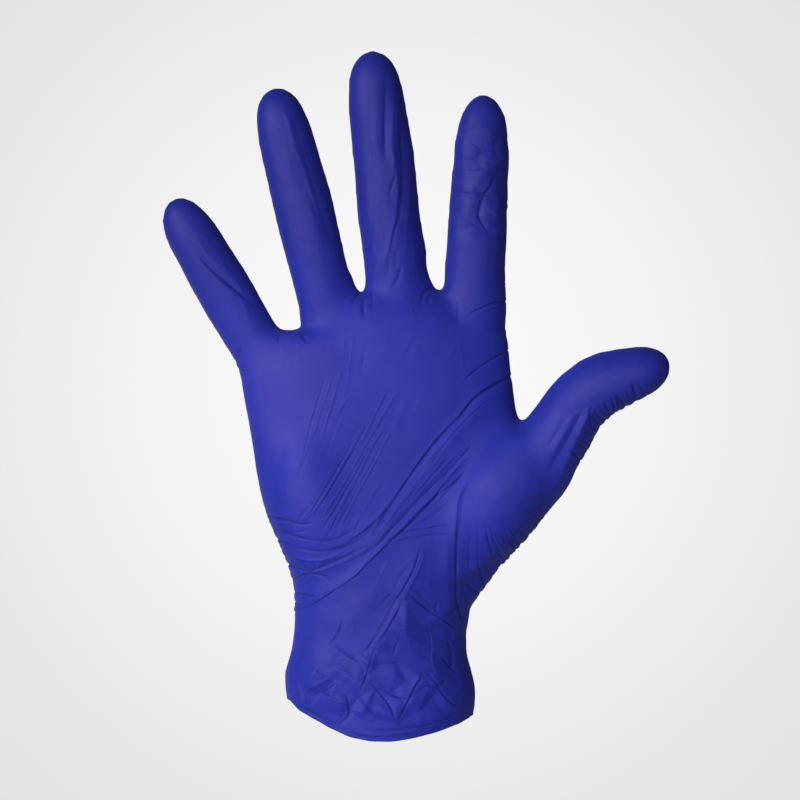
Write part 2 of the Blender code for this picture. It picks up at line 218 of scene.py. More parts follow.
def outer_surface(names):
    """(vertices, faces) of the outer sides of the named nodes, with the sleeve closed below."""
    vertices, faces = [], []
    for name in names:
        bm = node_bmesh(name)
        patch = outer_faces(bm)
        index = {}
        for vert in [v for f in patch for v in f.verts]:
            if vert not in index:
                index[vert] = len(vertices)
                vertices.append(tuple(vert.co))
        faces += [[index[v] for v in face.verts] for face in patch]
        if name == "cuff_sleeve":
            close_sleeve(patch, index, vertices, faces)
        bm.free()
    return vertices, faces


def with_modifier(obj, kind, **settings):
    """Gives obj the mesh that it has after one modifier."""
    modifier = obj.modifiers.new(kind, kind)
    for key, value in settings.items():
        setattr(modifier, key, value)
    mesh = bpy.data.meshes.new_from_object(obj.evaluated_get(bpy.context.evaluated_depsgraph_get()))
    obj.modifiers.clear()
    obj.data = mesh


def neighbour_mean(values, edges):
    """For each vertex, the mean of its neighbours' values."""
    count = len(values)
    ends = np.concatenate([edges[:, 0], edges[:, 1]])
    others = np.concatenate([edges[:, 1], edges[:, 0]])
    number = np.bincount(ends, minlength=count)
    columns = [np.bincount(ends, column[others], minlength=count) / number for column in values.T]
    return np.stack(columns, axis=1)


def smoothed(points, edges, rounds):
    """Smooths without shrinking, by a step in and a slightly longer step out."""
    for _ in range(rounds):
        for factor in (STEP_IN, STEP_OUT):
            points = points + factor * (neighbour_mean(points, edges) - points)
    return points


film_nodes = sorted(name for name in frame["nodes"] if name != "cuff_bead")
skin = new_object("skin", *outer_surface(film_nodes))
face_outwards(skin.data)
with_modifier(skin, "REMESH", mode="VOXEL", voxel_size=VOXEL)
set_points(skin.data, smoothed(points_of(skin.data), edges_of(skin.data), SMOOTHING_ROUNDS))

# Where the outline is pulled a little: the middle across and up, the reach, and the push across and up.
NUDGES = """
-30.5 143.5 4 0 1.8  -27.3 146 3 -0.8 0  -6.9 157.6 2.6 0 -1.8  -10.5 161 3 0.8 0
17.5 161 3 0.5 0  -7.4 158.4 3 0.7 -0.2  19.4 158.4 3 0.8 -0.2  20.3 157.6 2.6 0 -0.7
-12.5 170 8 0.1 0  -19 190 10 0.4 0  -6.5 184 7 -0.3 0  -1 233 12 0.5 0
12 205 16 0.9 0  16 172 5 0.5 0  24 195 14 -0.6 0  35 227 6 0 0.4
-68 187 5 -0.2 0.4  -71 168 6 0.4 0  -45 162 9 0.4 0.1  44 149 9 1 0
44.5 190 20 0.3 0  48.5 111.5 4 0 -2.3  60 125 9 -0.5 0.7  72 133 9 -0.2 0.6
65 88.5 6 1.1 -1.1  77 108 5 -0.6 0.6  55 76 8 -0.5 0.5  -44 105 22 0.6 0
-33 66 12 0.3 0  32 15 14 0.6 0  30 42 8 0.8 0
"""


def nudged(points):
    """The points with the outline pulled by the nudges."""
    moved = points.copy()
    for across, up, reach, push_across, push_up in rows(NUDGES, 5):
        near = np.exp(-((points[:, 0] - across) ** 2 + (points[:, 2] - up) ** 2) / reach**2)
        moved[:, 0] += push_across * near
        moved[:, 2] += push_up * near
    return moved


BACK_AT_WEBS, BACK_AT_MIDDLE = 8.2, 19.0
# Where the slope, its whole effect and the knuckles come in: ranges of height, and of depth.
SLOPE_HEIGHTS, BACK_HEIGHTS = (160, 96), (158, 150)
BACK_DEPTHS, KNUCKLE_DEPTHS = (3.0, 9.0), (0, 6)
KNUCKLE_BELOW_ROOT = 16.0
KNUCKLE_RISE = 1.6
KNUCKLE_WIDTH_SQUARED, KNUCKLE_LENGTH_SQUARED = 45, 90
# The top of the back, which is evened out once more: its lower and upper end, and its depth.
TOP_START, TOP_END, TOP_DEPTHS = (112, 130), (178, 164), (1, 5)
TOP_ROUNDS, TOP_STEP = 60, 0.5


def sloped_back(points):
    """Lets the back of the hand fall to the fingers in one slope, with a soft knuckle above each."""
    across, behind, up = points.T
    moved = points.copy()
    limit = BACK_AT_WEBS + (BACK_AT_MIDDLE - BACK_AT_WEBS) * smoothstep(*SLOPE_HEIGHTS, up)
    amount = smoothstep(*BACK_DEPTHS, behind) * smoothstep(*BACK_HEIGHTS, up)
    moved[:, 1] -= amount * np.maximum(behind - limit, 0)
    for name in FINGERS:
        digit = digits[name]
        place = digit.root - KNUCKLE_BELOW_ROOT * digit.along
        gap = (across - place[0]) ** 2 / KNUCKLE_WIDTH_SQUARED
        gap += (up - place[2]) ** 2 / KNUCKLE_LENGTH_SQUARED
        moved[:, 1] += KNUCKLE_RISE * np.exp(-gap) * smoothstep(*KNUCKLE_DEPTHS, behind)
    return moved


edges = edges_of(skin.data)
shaped = nudged(sloped_back(points_of(skin.data)))
back_top = smoothstep(*TOP_START, shaped[:, 2]) * smoothstep(*TOP_END, shaped[:, 2])
back_top *= smoothstep(*TOP_DEPTHS, shaped[:, 1])
for _ in range(TOP_ROUNDS):
    shaped += TOP_STEP * back_top[:, None] * (neighbour_mean(shaped, edges) - shaped) * (0, 1, 0)
set_points(skin.data, shaped)
with_modifier(skin, "SUBSURF", levels=1)
set_points(skin.data, points_of(skin.data) + FILM_RISE * normals_of(skin.data))

# --- Folds ---


def curve_through(points, step=1.2):
    """Points about every step millimetres on a smooth curve through the given ones."""
    given = np.array(points, float)
    given = np.vstack([2 * given[0] - given[1], given, 2 * given[-1] - given[-2]])
    parts = []
    for a, b, c, d in zip(given, given[1:], given[2:], given[3:]):
        count = max(2, int(np.linalg.norm(c - b) / step) + 1)
        t = np.linspace(0, 1, count, endpoint=False)[:, None]
        cubic = (3 * b - a - 3 * c + d) * t**3 + (2 * a - 5 * b + 4 * c - d) * t**2
        parts.append(0.5 * (2 * b + (c - a) * t + cubic))
    return np.vstack(parts + [given[-2:-1]])


Fold = namedtuple("Fold", "height width skew points")

# A fold tapers off over this length or so many half-widths, but never over more than a share of itself.
TAPER, TAPER_IN_WIDTHS, TAPER_SHARE = 6.0, 3.5, 0.32
REACH_IN_WIDTHS = 3.2
CRISPNESS = 1.4
GROOVE_DEPTH, GROOVE_WIDTH = 0.3, 2.4
UNEVENNESS, WAVES = 0.22, (2.7, 6.1)
# Painted shade along a fold: its widest, its place beside a ridge, its width in half-widths, and its
# strength.
LINE_WIDEST, LINE_ASIDE, LINE_WIDTH = 0.8, 1.1, 0.55
VALLEY_SHADE, RIDGE_SHADE = 0.75, 0.5
SHADED_STEEPNESS = (0.15, 1.0)


def folds_of(text):
    """The folds of a text, one on a line: height, half-width and skew, then places across and up."""
    lines = [line.split("|") for line in text.splitlines() if "|" in line]
    return [Fold(*rows(size, 3)[0], rows(course, 2)) for size, course in lines]


def add_fold(field, shade, places, fold):
    """Adds a fold's height to field, and a painted shade line along it to shade.

    places are sorted from the lowest. A positive height is a ridge and a negative one a valley. The flank on
    the left of its course is wider by skew, and the one on the right narrower. Its ends taper off.
    """
    height, width, skew, points = fold
    path = curve_through(points)
    reach = REACH_IN_WIDTHS * width * (1 + abs(skew))
    low, high = path.min(0) - reach, path.max(0) + reach
    first, last = np.searchsorted(places[:, 1], (low[1], high[1]))
    level = places[first:last, 0]
    near = first + np.flatnonzero((level > low[0]) & (level < high[0]))
    if not len(near):
        return
    start, step = path[:-1], np.diff(path, axis=0)
    lengths = np.linalg.norm(step, axis=1)
    offset = places[near][:, None, :] - start[None]
    t = np.clip((offset * step).sum(2) / lengths**2, 0, 1)
    apart = offset - t[..., None] * step
    gap = (apart**2).sum(2)
    best = gap.argmin(1)
    each = np.arange(len(near))
    distance = np.sqrt(gap[each, best])
    arc = np.concatenate([[0], np.cumsum(lengths)[:-1]])[best] + t[each, best] * lengths[best]
    chosen, away = step[best], apart[each, best]
    left = chosen[:, 0] * away[:, 1] - chosen[:, 1] * away[:, 0] > 0
    flank = np.where(left, width * (1 + skew), width * (1 - skew))
    total = lengths.sum()
    taper = min(max(TAPER, TAPER_IN_WIDTHS * width), TAPER_SHARE * total)
    ends = smoothstep(0, taper, arc) * smoothstep(0, taper, total - arc)
    wave = UNEVENNESS * np.sin(arc / WAVES[0] + path[0, 0]) * np.sin(arc / WAVES[1] + path[0, 1])
    ends *= 1 - UNEVENNESS + wave
    shape = np.exp(-((distance / flank) ** CRISPNESS))
    shape -= GROOVE_DEPTH * np.exp(-((distance / (GROOVE_WIDTH * flank)) ** 2))
    field[near] += height * ends * shape
    # Painted shade: a dark line along a valley's bottom, and one beside a ridge's right flank.
    signed = np.where(left, distance, -distance)
    line = 0.0 if height < 0 else -LINE_ASIDE * width * (1 - skew)
    steep = smoothstep(*SHADED_STEEPNESS, abs(height) / width)
    strength = steep * (VALLEY_SHADE if height < 0 else RIDGE_SHADE) * min(1, LINE_WIDEST / width)
    dark = strength * ends * np.exp(-(((signed - line) / (LINE_WIDTH * min(width, LINE_WIDEST))) ** 2))
    shade[near] = np.maximum(shade[near], dark)


# Folds of the palm side, in the form that folds_of reads.
PALM_FOLDS = """
# The long diagonal from the index finger's root to the wrist, and the lines beside it.
-1 0.8 0.45 | 50 128.6 43 125.6 33.7 119.8 27.9 112.8 22.1 107 16.3 100 10.5 91.9 5.8 84.9 1.2 77.9 -2.5 72
0.45 0.51 0.6 | 29.1 102.3 22.1 95.3 12.8 84.9 5.8 77.9 -2.3 68.6 -14 61.6 -24.4 58.1
-0.35 0.42 0.36 | 17.4 98.8 10.5 89.5 2.3 80.2 -4.7 73.2 -11.6 68.6
-0.36 0.36 0.36 | 22.6 103.4 17.2 97.2 11.2 89.4
-0.7 0.6 0.36 | 34.4 101.3 33.1 100 29.1 96.5 25 91.8 22.1 88.4 16.3 81.4 8.1 73.2 0 67.4
-0.35 0.42 0.36 | 33.6 104.6 28.6 99 23.4 93 19.6 88.2
-0.3 0.4 0.36 | 26.4 96.7 14.4 84.7 6.4 76.1 -0.3 69.4
0.36 0.4 0.54 | 13.6 90.2 7.4 82.6 0.6 75.2 -7 69.6
-0.26 0.34 0.36 | 38.6 119.4 31.6 113.2 25.4 106.6 19.4 98.6 13.6 91
0.3 0.36 0.54 | 24.2 100.6 17.4 92.4 10 83.4 3.4 76
-0.3 0.34 0.36 | 30.6 94.6 24.2 87.4 16.2 79.6 9.4 74.6
0.3 0.36 0.54 | 28.2 88.2 22.4 82.6 15.2 77.4 8.4 74
-0.3 0.34 0 | -9.6 62.4 -3.6 65.8 2.2 71 7.4 77.2
-0.3 0.34 0 | -13.2 68.4 -8.6 70.6 -3.4 74.8 1.8 80.4 6.6 86.8
# Short lines from the index finger's side.
-0.65 0.47 0.36 | 49 138.2 42.6 134.8 37.2 131.8 30.8 126.9 28.8 124.6
-0.65 0.47 0.36 | 50 154 43.1 152.9 38.2 151.9 33.8 149.9 28.9 147.5
-0.36 0.36 0.36 | 48 152 42 151 38.4 150 34.6 147.6
# Thin lines of tension down the middle of the palm.
0.34 0.34 0.6 | 2.9 123.2 -1.2 115.1 -5.8 105.8 -12.2 97.7 -17.4 88.4 -22.1 81.4 -27.3 75.6
0.36 0.34 0.6 | 5.8 122.1 1.2 113.9 -4.1 104.6 -8.1 97.7 -13.4 88.4 -18 81.4 -20.9 76.7
0.38 0.34 0.6 | 2.3 110.4 -2.3 103.5 -5.8 96.5 -9.9 88.4 -14 81.4 -17.4 74.4 -19.8 70.9
0.34 0.34 0.6 | 4.7 109.3 0 101.1 -3.5 94.2 -7 88.4 -11.6 79.1 -15.1 72.1
-0.3 0.34 0.36 | -8.3 106.1 -13.2 97.6 -18.8 88.1 -25.6 77.2
-0.26 0.34 0.36 | -3.6 112.4 -8.2 103 -13.2 94.2 -18.4 85.6 -23.8 77.6
0.29 0.34 0.54 | -1.6 106.4 -6.8 97.2 -11.6 88.6 -16.6 80.2 -21.4 73.4
-0.24 0.34 0.36 | 1.8 104.8 -2.6 96.8 -7 88.8 -11.4 80.8 -16 73
-0.22 0.34 0.36 | -18.6 128.6 -20.8 121 -23.4 112.6 -25.6 104.4 -27.6 96
0.22 0.34 0.36 | -14.4 127 -16.6 118.4 -19.2 109.6 -21.4 101
-0.26 0.34 0.36 | -9.2 92.2 -13.4 84.6 -18.2 76.2
0.24 0.36 0.54 | -16.3 129.1 -18.6 120.9 -21.5 112.8 -23.3 104.6
0.24 0.36 0.54 | -12.8 132.5 -15.1 123.2 -17.4 115.1 -19.2 109.3
0.18 0.4 0.54 | -12.2 148.8 -12.8 138.4 -13.4 130.2
0.18 0.4 0.54 | -9 143 -10.4 133 -12.2 122 -15.6 111
# The fold along the thumb's ball, and the pleats beside it.
-0.85 0.64 0.18 | 31.4 92.4 30.2 90.1 27.9 83.7 27.1 74.4 26.7 65.1 26.6 56 26.6 49 28.5 43 29.1 38.4
-0.45 0.42 0 | 33.9 77.1 34 68 34.6 60.2 37 52
-0.45 0.42 0 | 36.3 76.5 38.3 67.6 41 61 46 54
-0.35 0.38 0 | 38.4 76.5 39.6 70.3 42.6 65 48 57.6
-0.35 0.38 0 | 41.9 74 43 70.5 45.4 66.6 51 61
-0.36 0.36 0 | 44.6 76 46 72.4 49 68.6 54 64
-0.35 0.42 0 | 31.2 73.4 31 66 31.6 59
# The bunched film on the little finger's side of the wrist.
-0.6 0.51 0.36 | -42 79 -33.4 76.9 -30.3 75.7 -26.3 75.1 -22 76
-0.7 0.55 0.36 | -41 72 -32.6 68.6 -29.1 66.8 -19.8 65.8 -11.6 67.7 -6.2 71.2 -1.2 75.6 3.4 81
-0.55 0.51 0.36 | -40 75.4 -31.4 71.6 -25.6 70 -18.4 69.4 -12.4 71.2 -7 74.8
-0.65 0.55 0.36 | -38 63.6 -30.6 60.6 -24.8 58.9 -18 61.2 -11.2 64.2 -4.8 67.6
-0.6 0.51 0 | -38 53.6 -30.4 56.4 -25.6 57.7 -22 57.8 -18.6 56.4 -16.3 53.5
-0.6 0.51 0 | -38 53 -30.6 51.9 -25.6 50.6 -21.4 50.2
-0.5 0.47 0 | -38 50.6 -30.4 48.6 -27 47.2 -23 47
0.4 0.51 0 | -38 66.6 -30 64 -24 62.6 -17.6 63.4 -12 66
-0.35 0.42 0 | -42 74 -33.8 72.8 -28.4 72.6 -24 73.2
# The edge of the big fold that crosses the wrist, and the small folds in the middle.
0.7 0.77 0.6 | -37 42 -29.6 45.3 -23.3 47.7 -16.3 52.3 -9.3 57 -3.5 62.8 1.2 67.4 7 72.9 12.6 79 18.6 84.6 \
25.6 90.2 31.4 96
0.36 0.4 0 | 1.7 68.7 9.1 70.7 18 72.1 26 72.4
-0.36 0.4 0 | 2.3 70.7 9.1 72.7 14.6 73.4 22 74.6
0.3 0.4 0 | 15.3 74.1 20.6 75.2 26.1 75.5
# The lines that run down the cuff.
-0.5 0.5 0.36 | 14.5 67.9 11.6 59.3 8.1 52.5 5.2 48.2 0.9 40.2 -2.8 34.1 -7.3 29
0.34 0.5 0.36 | 16 66 13 58.6 9.6 52 7.4 48 2 38.6 -1.1 32.4 -3.7 26.6
-0.45 0.47 0.36 | 8.1 52.7 6.4 45.3 2.3 38.4 -1.2 32.6 -3.5 26.7 -5.2 20.9 -7.9 15.3
-0.5 0.51 0.54 | 8.2 52.8 12.8 48.4 17.4 44.9 20.9 42.6 24.4 40.3 28.6 37.5
-0.45 0.47 0 | 20.9 43.2 19.6 45.6 20.4 48.8
-0.4 0.47 0 | 21.2 42.4 24.4 44.2 27.4 46.4
0.5 0.55 0.54 | 17.4 40.5 18.6 33.7 18 27.9 18.8 23.4
# The crumpled film above the lip.
-0.62 0.51 0.54 | -18.4 34.4 -17.4 33.7 -10.5 29.1 -5 26.3
-0.62 0.51 0.54 | -4.5 25.8 2.3 26.9 9.1 28.3
-0.69 0.51 0.54 | 15.6 24.6 11.6 17.4 9.3 12.8 5.6 6
-0.62 0.51 0.54 | 15.2 24.9 19.8 18.6 23.3 14 27.4 11
-0.9 0.6 0.54 | -26.6 14.6 -19.8 17.4 -14.4 20.4
0.5 0.7 0 | -27 17 -20.4 20 -15 23
-0.7 0.51 0.54 | -22.4 19.2 -17.4 15.4 -12.6 13.4
-0.8 0.55 0.54 | -12.4 17.2 -11.2 12.6 -11.4 8.6 -15.4 4.6
-0.62 0.51 0.54 | -4 20.6 0 16.3 3.5 11.6 5.2 7 6.6 4.2
-0.7 0.51 0.3 | -11.1 16.8 -5.8 12.8 -1.2 8.1 5.2 5.6
-0.62 0.51 0.54 | 0.6 17.7 5.8 15.1 10.5 15.1 16.3 18.6 22.7 17.2
-0.5 0.51 0.3 | -28.9 12.6 -23.4 9 -19.4 6.4
-0.5 0.51 0.3 | 20.6 30.2 24.6 25.2 28.6 22.6
-0.5 0.51 0.3 | 23.6 36 25.2 29.4 24.2 23.6
-0.44 0.51 0.3 | -12.6 44 -14.4 37.6 -18.8 31.6
# The dents along the lip.
-0.5 0.5 0.3 | -6 3.6 0.3 3.2 9.6 4 16.3 5 24.3 8 29 10.8
-0.5 0.5 0.3 | -29.6 14.4 -27.8 12 -23.3 9 -17 6
0.35 0.6 0 | -12 3.4 -4 1.9 6 2.2 15 3.6
# Pleats on the thumb.
-0.4 0.6 0 | 74.2 119 73.8 116.3 73.2 111.6 75.4 107
-0.65 2 0.2 | 77 120 75 113.9 72.4 107.6 69.4 101 66 94 62 88
0.65 1.8 0 | 74 118.6 71.4 111.6 68.6 105 65.6 98.4 62 91
-0.65 1.8 0.2 | 72.2 118 68.8 111 65 104 61.4 98.2 58.2 92
0.45 1.7 0 | 69.2 115 65.2 108.4 61.4 102 58 96
-0.5 1.3 0.2 | 66 114 61.6 107 57.8 100.6
-0.35 0.5 0 | 76 118.4 76.7 116.2 78.4 114.2 82 114
-0.3 0.5 0 | 77.6 112.4 80 112.8 84 115.4
"""

# Broad folds of the palm side, which turn whole facets of slack film to or from the light.
BROAD_FOLDS = """
0.9 5 0.3 | 40 121 27 107 17 95 7 82 -1 71 -12 63
-0.5 4 0 | 36 125 24 112 12 96 3 84 -6 74
1 5 0.3 | 17 74 12 60 6 47 -1 36 -7 24 -11 10
-1.1 4.5 0 | 31 84 31 70 31 58 32 46
0.9 3.6 0 | 24 78 23.6 66 23.6 54 25.4 40
0.6 4 0.3 | -30 44 -20 49 -10 56 0 66 8 74
-0.5 3.5 0 | -32 55 -24 55 -14 58 -4 64
0.5 3.5 0 | -33 64 -22 62 -12 64.6 -2 70
0.8 3.5 0 | 21 44 19.6 34 19.4 24 24 12
0.8 3 0 | -28 14 -18 18.4 -8 23
-0.7 2.6 0 | -24 9 -12 10 -4 14 3 20
0.8 2.4 0 | -10 18 -2 13 4 8 9 4
0.8 2.4 0 | 14 24 10.6 16 7 9
-0.8 2.4 0 | 1 24 4 19 9 12 14 6
0.7 2.2 0 | 16 24 20 18 25 11
-0.7 2 0 | 18 16 22 10 28 6
0.6 2.2 0 | -18 33 -9 28.4 2 26.4 10 28
0.8 3.2 -0.3 | 56 82 62 90 67 101 72 112 80 118
"""

FINGER_FOLDS = """
# The little finger's long crease, and those at its root.
-0.9 1.2 0.35 | -64.5 171 -62.2 167.9 -56.3 162.1 -50.4 157.2 -44.6 152.3 -43.1 150.3
-0.5 0.8 0 | -54 128 -49.9 132.7 -49.2 135 -48.3 138.4
-0.5 0.8 0 | -54 126 -49.5 129.3 -48 130.5 -46 132.6
-0.5 0.8 0 | -35.7 138.6 -35.4 140.4 -34.6 142
-0.5 0.8 0 | -28.2 143 -26.6 140.6 -25.5 138.1
# The ring finger's long soft edge, with the dark side to its right.
0.6 2.6 0.5 | -34.6 223 -34.1 221 -31 213 -29.3 206.3 -26.6 199.7 -23.9 190.8 -20.4 181.9
-0.5 1.9 0 | -30.5 219 -28.2 210 -25.5 201 -22.5 191 -19 180 -15.5 170
-0.3 1.4 0.2 | -38.4 216 -36.4 206 -33.4 196 -31 187
-0.35 1 0 | -27.4 176 -26 172 -25.2 167
-0.6 0.8 0 | -6.1 156.5 -8.4 154.5 -10.3 152.4
-0.6 0.8 0 | -5.7 156 -5.9 151.5 -5.6 146.5
-0.35 0.8 0 | -4 159 -2.6 154 -2.9 149
# The middle finger's lengthwise folds, on its right half.
-0.9 2 0.2 | 2.3 234 2.1 226 1.5 217.5 1.7 210.8 1.9 200
0.7 1.9 0.2 | 5 225 4.4 215 4.2 206 5.6 199.7 6 190.8 5.4 182 3.4 172.9 1.5 167 0 159
-0.8 1.8 0 | 7.5 216 7.8 206 8 199.7 7.7 190.8 7 185.5 6.4 178
0.35 1.2 0 | 10 214 10.6 202 10.4 190 9.4 178 8.6 166
-0.3 1.1 0 | -3.6 224 -3.4 212 -3 200 -3.2 188
-0.35 1.2 0.2 | -4.6 166 -3.4 176 -1.8 188 -0.6 198
-0.45 0.7 0 | 5.6 198 4.6 194.2 3.5 191 3.4 187.6
-0.5 0.9 0.2 | 6.9 184 6.4 181.7 4.5 175.3 3.8 168.5
-0.5 0.9 0.2 | 7.5 166 6.9 163 5.9 160.2 3.4 157
-0.3 0.8 0 | -1.7 220.5 -2 217 -2.1 214
0.3 0.9 0.3 | 1.2 180 0 173 -1.6 165 -3 157
-0.7 0.8 0 | 20.4 156.9 17.8 157.5 15.6 156.4 14.6 153.6 14.2 150.6
-0.4 0.7 0 | 18.2 156 17 153.6 16.6 151
# The index finger's crumples at its two upper joints.
-0.5 0.7 0.3 | 40.6 198.5 38.9 193.8 35.8 189 34.4 183.4 36.8 178.4 40 176.4
-0.55 0.7 0.3 | 33.6 189.7 36.6 190.2 39.6 189.2
0.35 1.1 0.3 | 24.6 188 28.9 191 35.7 192 42.9 190
-0.5 0.7 0.3 | 23.4 191 27.2 191.4 31 190 33.4 187.4
-0.55 0.7 0.3 | 28.6 177.9 31.4 179 34 178.9 36.6 177.4
-0.45 0.8 0 | 38.6 175.3 41 175.4 44.2 176.2
-0.55 0.7 0.3 | 25.2 204.4 29 203 33.4 203.4 37.4 205.8 42.4 205
-0.3 0.9 0 | 28.4 200.4 32.5 199.2 36.6 200.4
-0.35 1 0 | 41.6 212 40.2 207 41 202
-0.4 0.8 0 | 22.6 161.4 23.6 158.4 22.4 155
"""


def seen_places(points):
    """Where each point stands across and up, as seen from the camera's place."""
    scale = CAMERA_DISTANCE / (CAMERA_DISTANCE + points[:, 1])
    across = VIEW_CENTRE[0] + (points[:, 0] - VIEW_CENTRE[0]) * scale
    up = VIEW_CENTRE[1] + (points[:, 2] - VIEW_CENTRE[1]) * scale
    return np.stack([across, up], axis=1)


def scattered(rng, count, low, high, angle, spread, length, height, width):
    """Short folds at random places in a box, which run about at one angle from the horizontal."""
    folds = []
    for _ in range(count):
        middle = rng.uniform(low, high)
        turn = math.radians(angle + rng.uniform(-spread, spread))
        half = rng.uniform(0.5, 1.0) * length / 2
        way = np.array([math.cos(turn), math.sin(turn)]) * half
        bow = np.array([-way[1], way[0]]) * rng.uniform(-0.3, 0.3) * min(1.0, 7 / length)
        size = height * rng.uniform(0.4, 1.0) * rng.choice([-1, 1])
        course = [middle - way, middle - 0.4 * way + bow, middle + 0.4 * way + bow, middle + way]
        folds.append(Fold(size, width * rng.uniform(0.8, 1.3), rng.uniform(-0.4, 0.4), course))
    return folds


def notches(rng, outline, spacing, inward, outward, height, width):
    """Short folds across an outline, which notch it. inward and outward are how far they reach from it."""
    path = curve_through(outline, spacing)
    way = np.gradient(path, axis=0)
    way /= np.linalg.norm(way, axis=1)[:, None]
    folds = []
    for point, along in zip(path, way):
        point = point + along * rng.uniform(-0.35, 0.35) * spacing
        turn = rng.uniform(-0.5, 0.5)
        across = np.array([along[1], -along[0]]) + turn * along
        start = point - across * inward * rng.uniform(0.5, 1.3)
        size = height * rng.uniform(0.4, 1.0)
        course = [start, point, point + across * outward]
        folds.append(Fold(size, width * rng.uniform(0.7, 1.3), 0.0, course))
    return folds


# Sets of short folds. Each row is what scattered() takes after rng.
PALM_SCATTER = [
    (26, (-40, 80), (30, 150), 62, 12, 26, 0.14, 1.1),
    (14, (-34, 70), (0, 118), 64, 7, 30, 0.2, 0.5),
    (16, (-30, 44), (32, 76), 40, 30, 15, 0.22, 0.6),
    (22, (-30, 5), (32, 40), 35, 70, 10, 0.3, 0.5),
    (22, (26, 174), (44, 212), 20, 60, 9, 0.3, 0.9),
    (16, (-6, 160), (12, 225), 86, 8, 20, 0.25, 0.8),
    (12, (-30, 48), (2, 82), 58, 9, 22, 0.2, 0.45),
    (14, (-38, 160), (-16, 218), 104, 6, 22, 0.22, 0.8),
    (8, (-70, 148), (-46, 182), 120, 8, 16, 0.2, 0.7),
    (10, (58, 104), (88, 130), 30, 15, 16, 0.2, 0.8),
    (12, (-40, 132), (36, 156), 90, 12, 16, 0.16, 0.5),
]
BACK_SCATTER = [
    (34, (-42, 78), (36, 150), 85, 16, 34, 0.4, 1.0),
    (34, (-34, 44), (34, 84), 12, 40, 26, 0.6, 0.8),
    (46, (-32, 5), (32, 44), 30, 80, 14, 0.45, 0.7),
    (20, (-32, 44), (36, 76), 15, 30, 26, 0.45, 0.6),
    (14, (-60, 140), (46, 160), 80, 20, 12, 0.4, 0.7),
]
# Stretches of the outline with notches: the outline across and up, then what notches() takes after it.
NOTCHES = [
    ("92 120.5 86.5 116.5 80.5 113.2 76.5 108.5 73.5 103.5 70 96.5", 3.1, 3.6, 6, -0.8, 0.8),
    ("58 79 52 71 47.5 65 42 59.5 36 52", 3.3, 3.2, 6, -0.65, 0.75),
    ("44 168 43.6 160 43.4 150 44.6 138", 3.2, 1.8, 5, -0.3, 0.5),
    ("-36 80 -33 70 -31 60 -30.6 50 -31 40", 3.0, 3.0, 6, -0.35, 0.55),
]


def small_palm_folds():
    rng = np.random.default_rng(11)
    folds = []
    for outline, *settings in NOTCHES:
        folds += notches(rng, rows(outline, 2), *settings)
    for settings in PALM_SCATTER:
        folds += scattered(rng, *settings)
    return folds


KNUCKLE_LINES = (-4.2, -2.0, 0.3, 2.3, 4.4)


def back_folds():
    """Folds of the back: over the knuckles, along the hand's back, and round the wrist and the cuff."""
    rng = np.random.default_rng(5)
    folds = []
    for digit in digits.values():
        across = np.array([digit.along[2], -digit.along[0]])
        across /= np.linalg.norm(across)
        knuckles = (digit.length, 2 * digit.length) if digit.name != "thumb" else (digit.length,)
        for place in knuckles:
            middle = (digit.root + place * digit.along)[[0, 2]]
            way = digit.along[[0, 2]]
            for k, off in enumerate(KNUCKLE_LINES):
                half = rng.uniform(3.5, 6.0)
                bow = -0.5 * off * way * 0.35
                ends = [middle + off * way + side * half * across + bow for side in (-1, 1)]
                course = [ends[0], middle + off * way + rng.uniform(-0.5, 0.5) * way, ends[1]]
                folds.append(Fold((-0.5, 0.4)[k % 2], 0.85, rng.uniform(-0.2, 0.2), course))
        tendon = [(digit.root + place * digit.along)[[0, 2]] for place in (-42, -20, 2)]
        folds.append(Fold(0.35, 2.2, 0.0, tendon))
    for settings in BACK_SCATTER:
        folds += scattered(rng, *settings)
    return folds


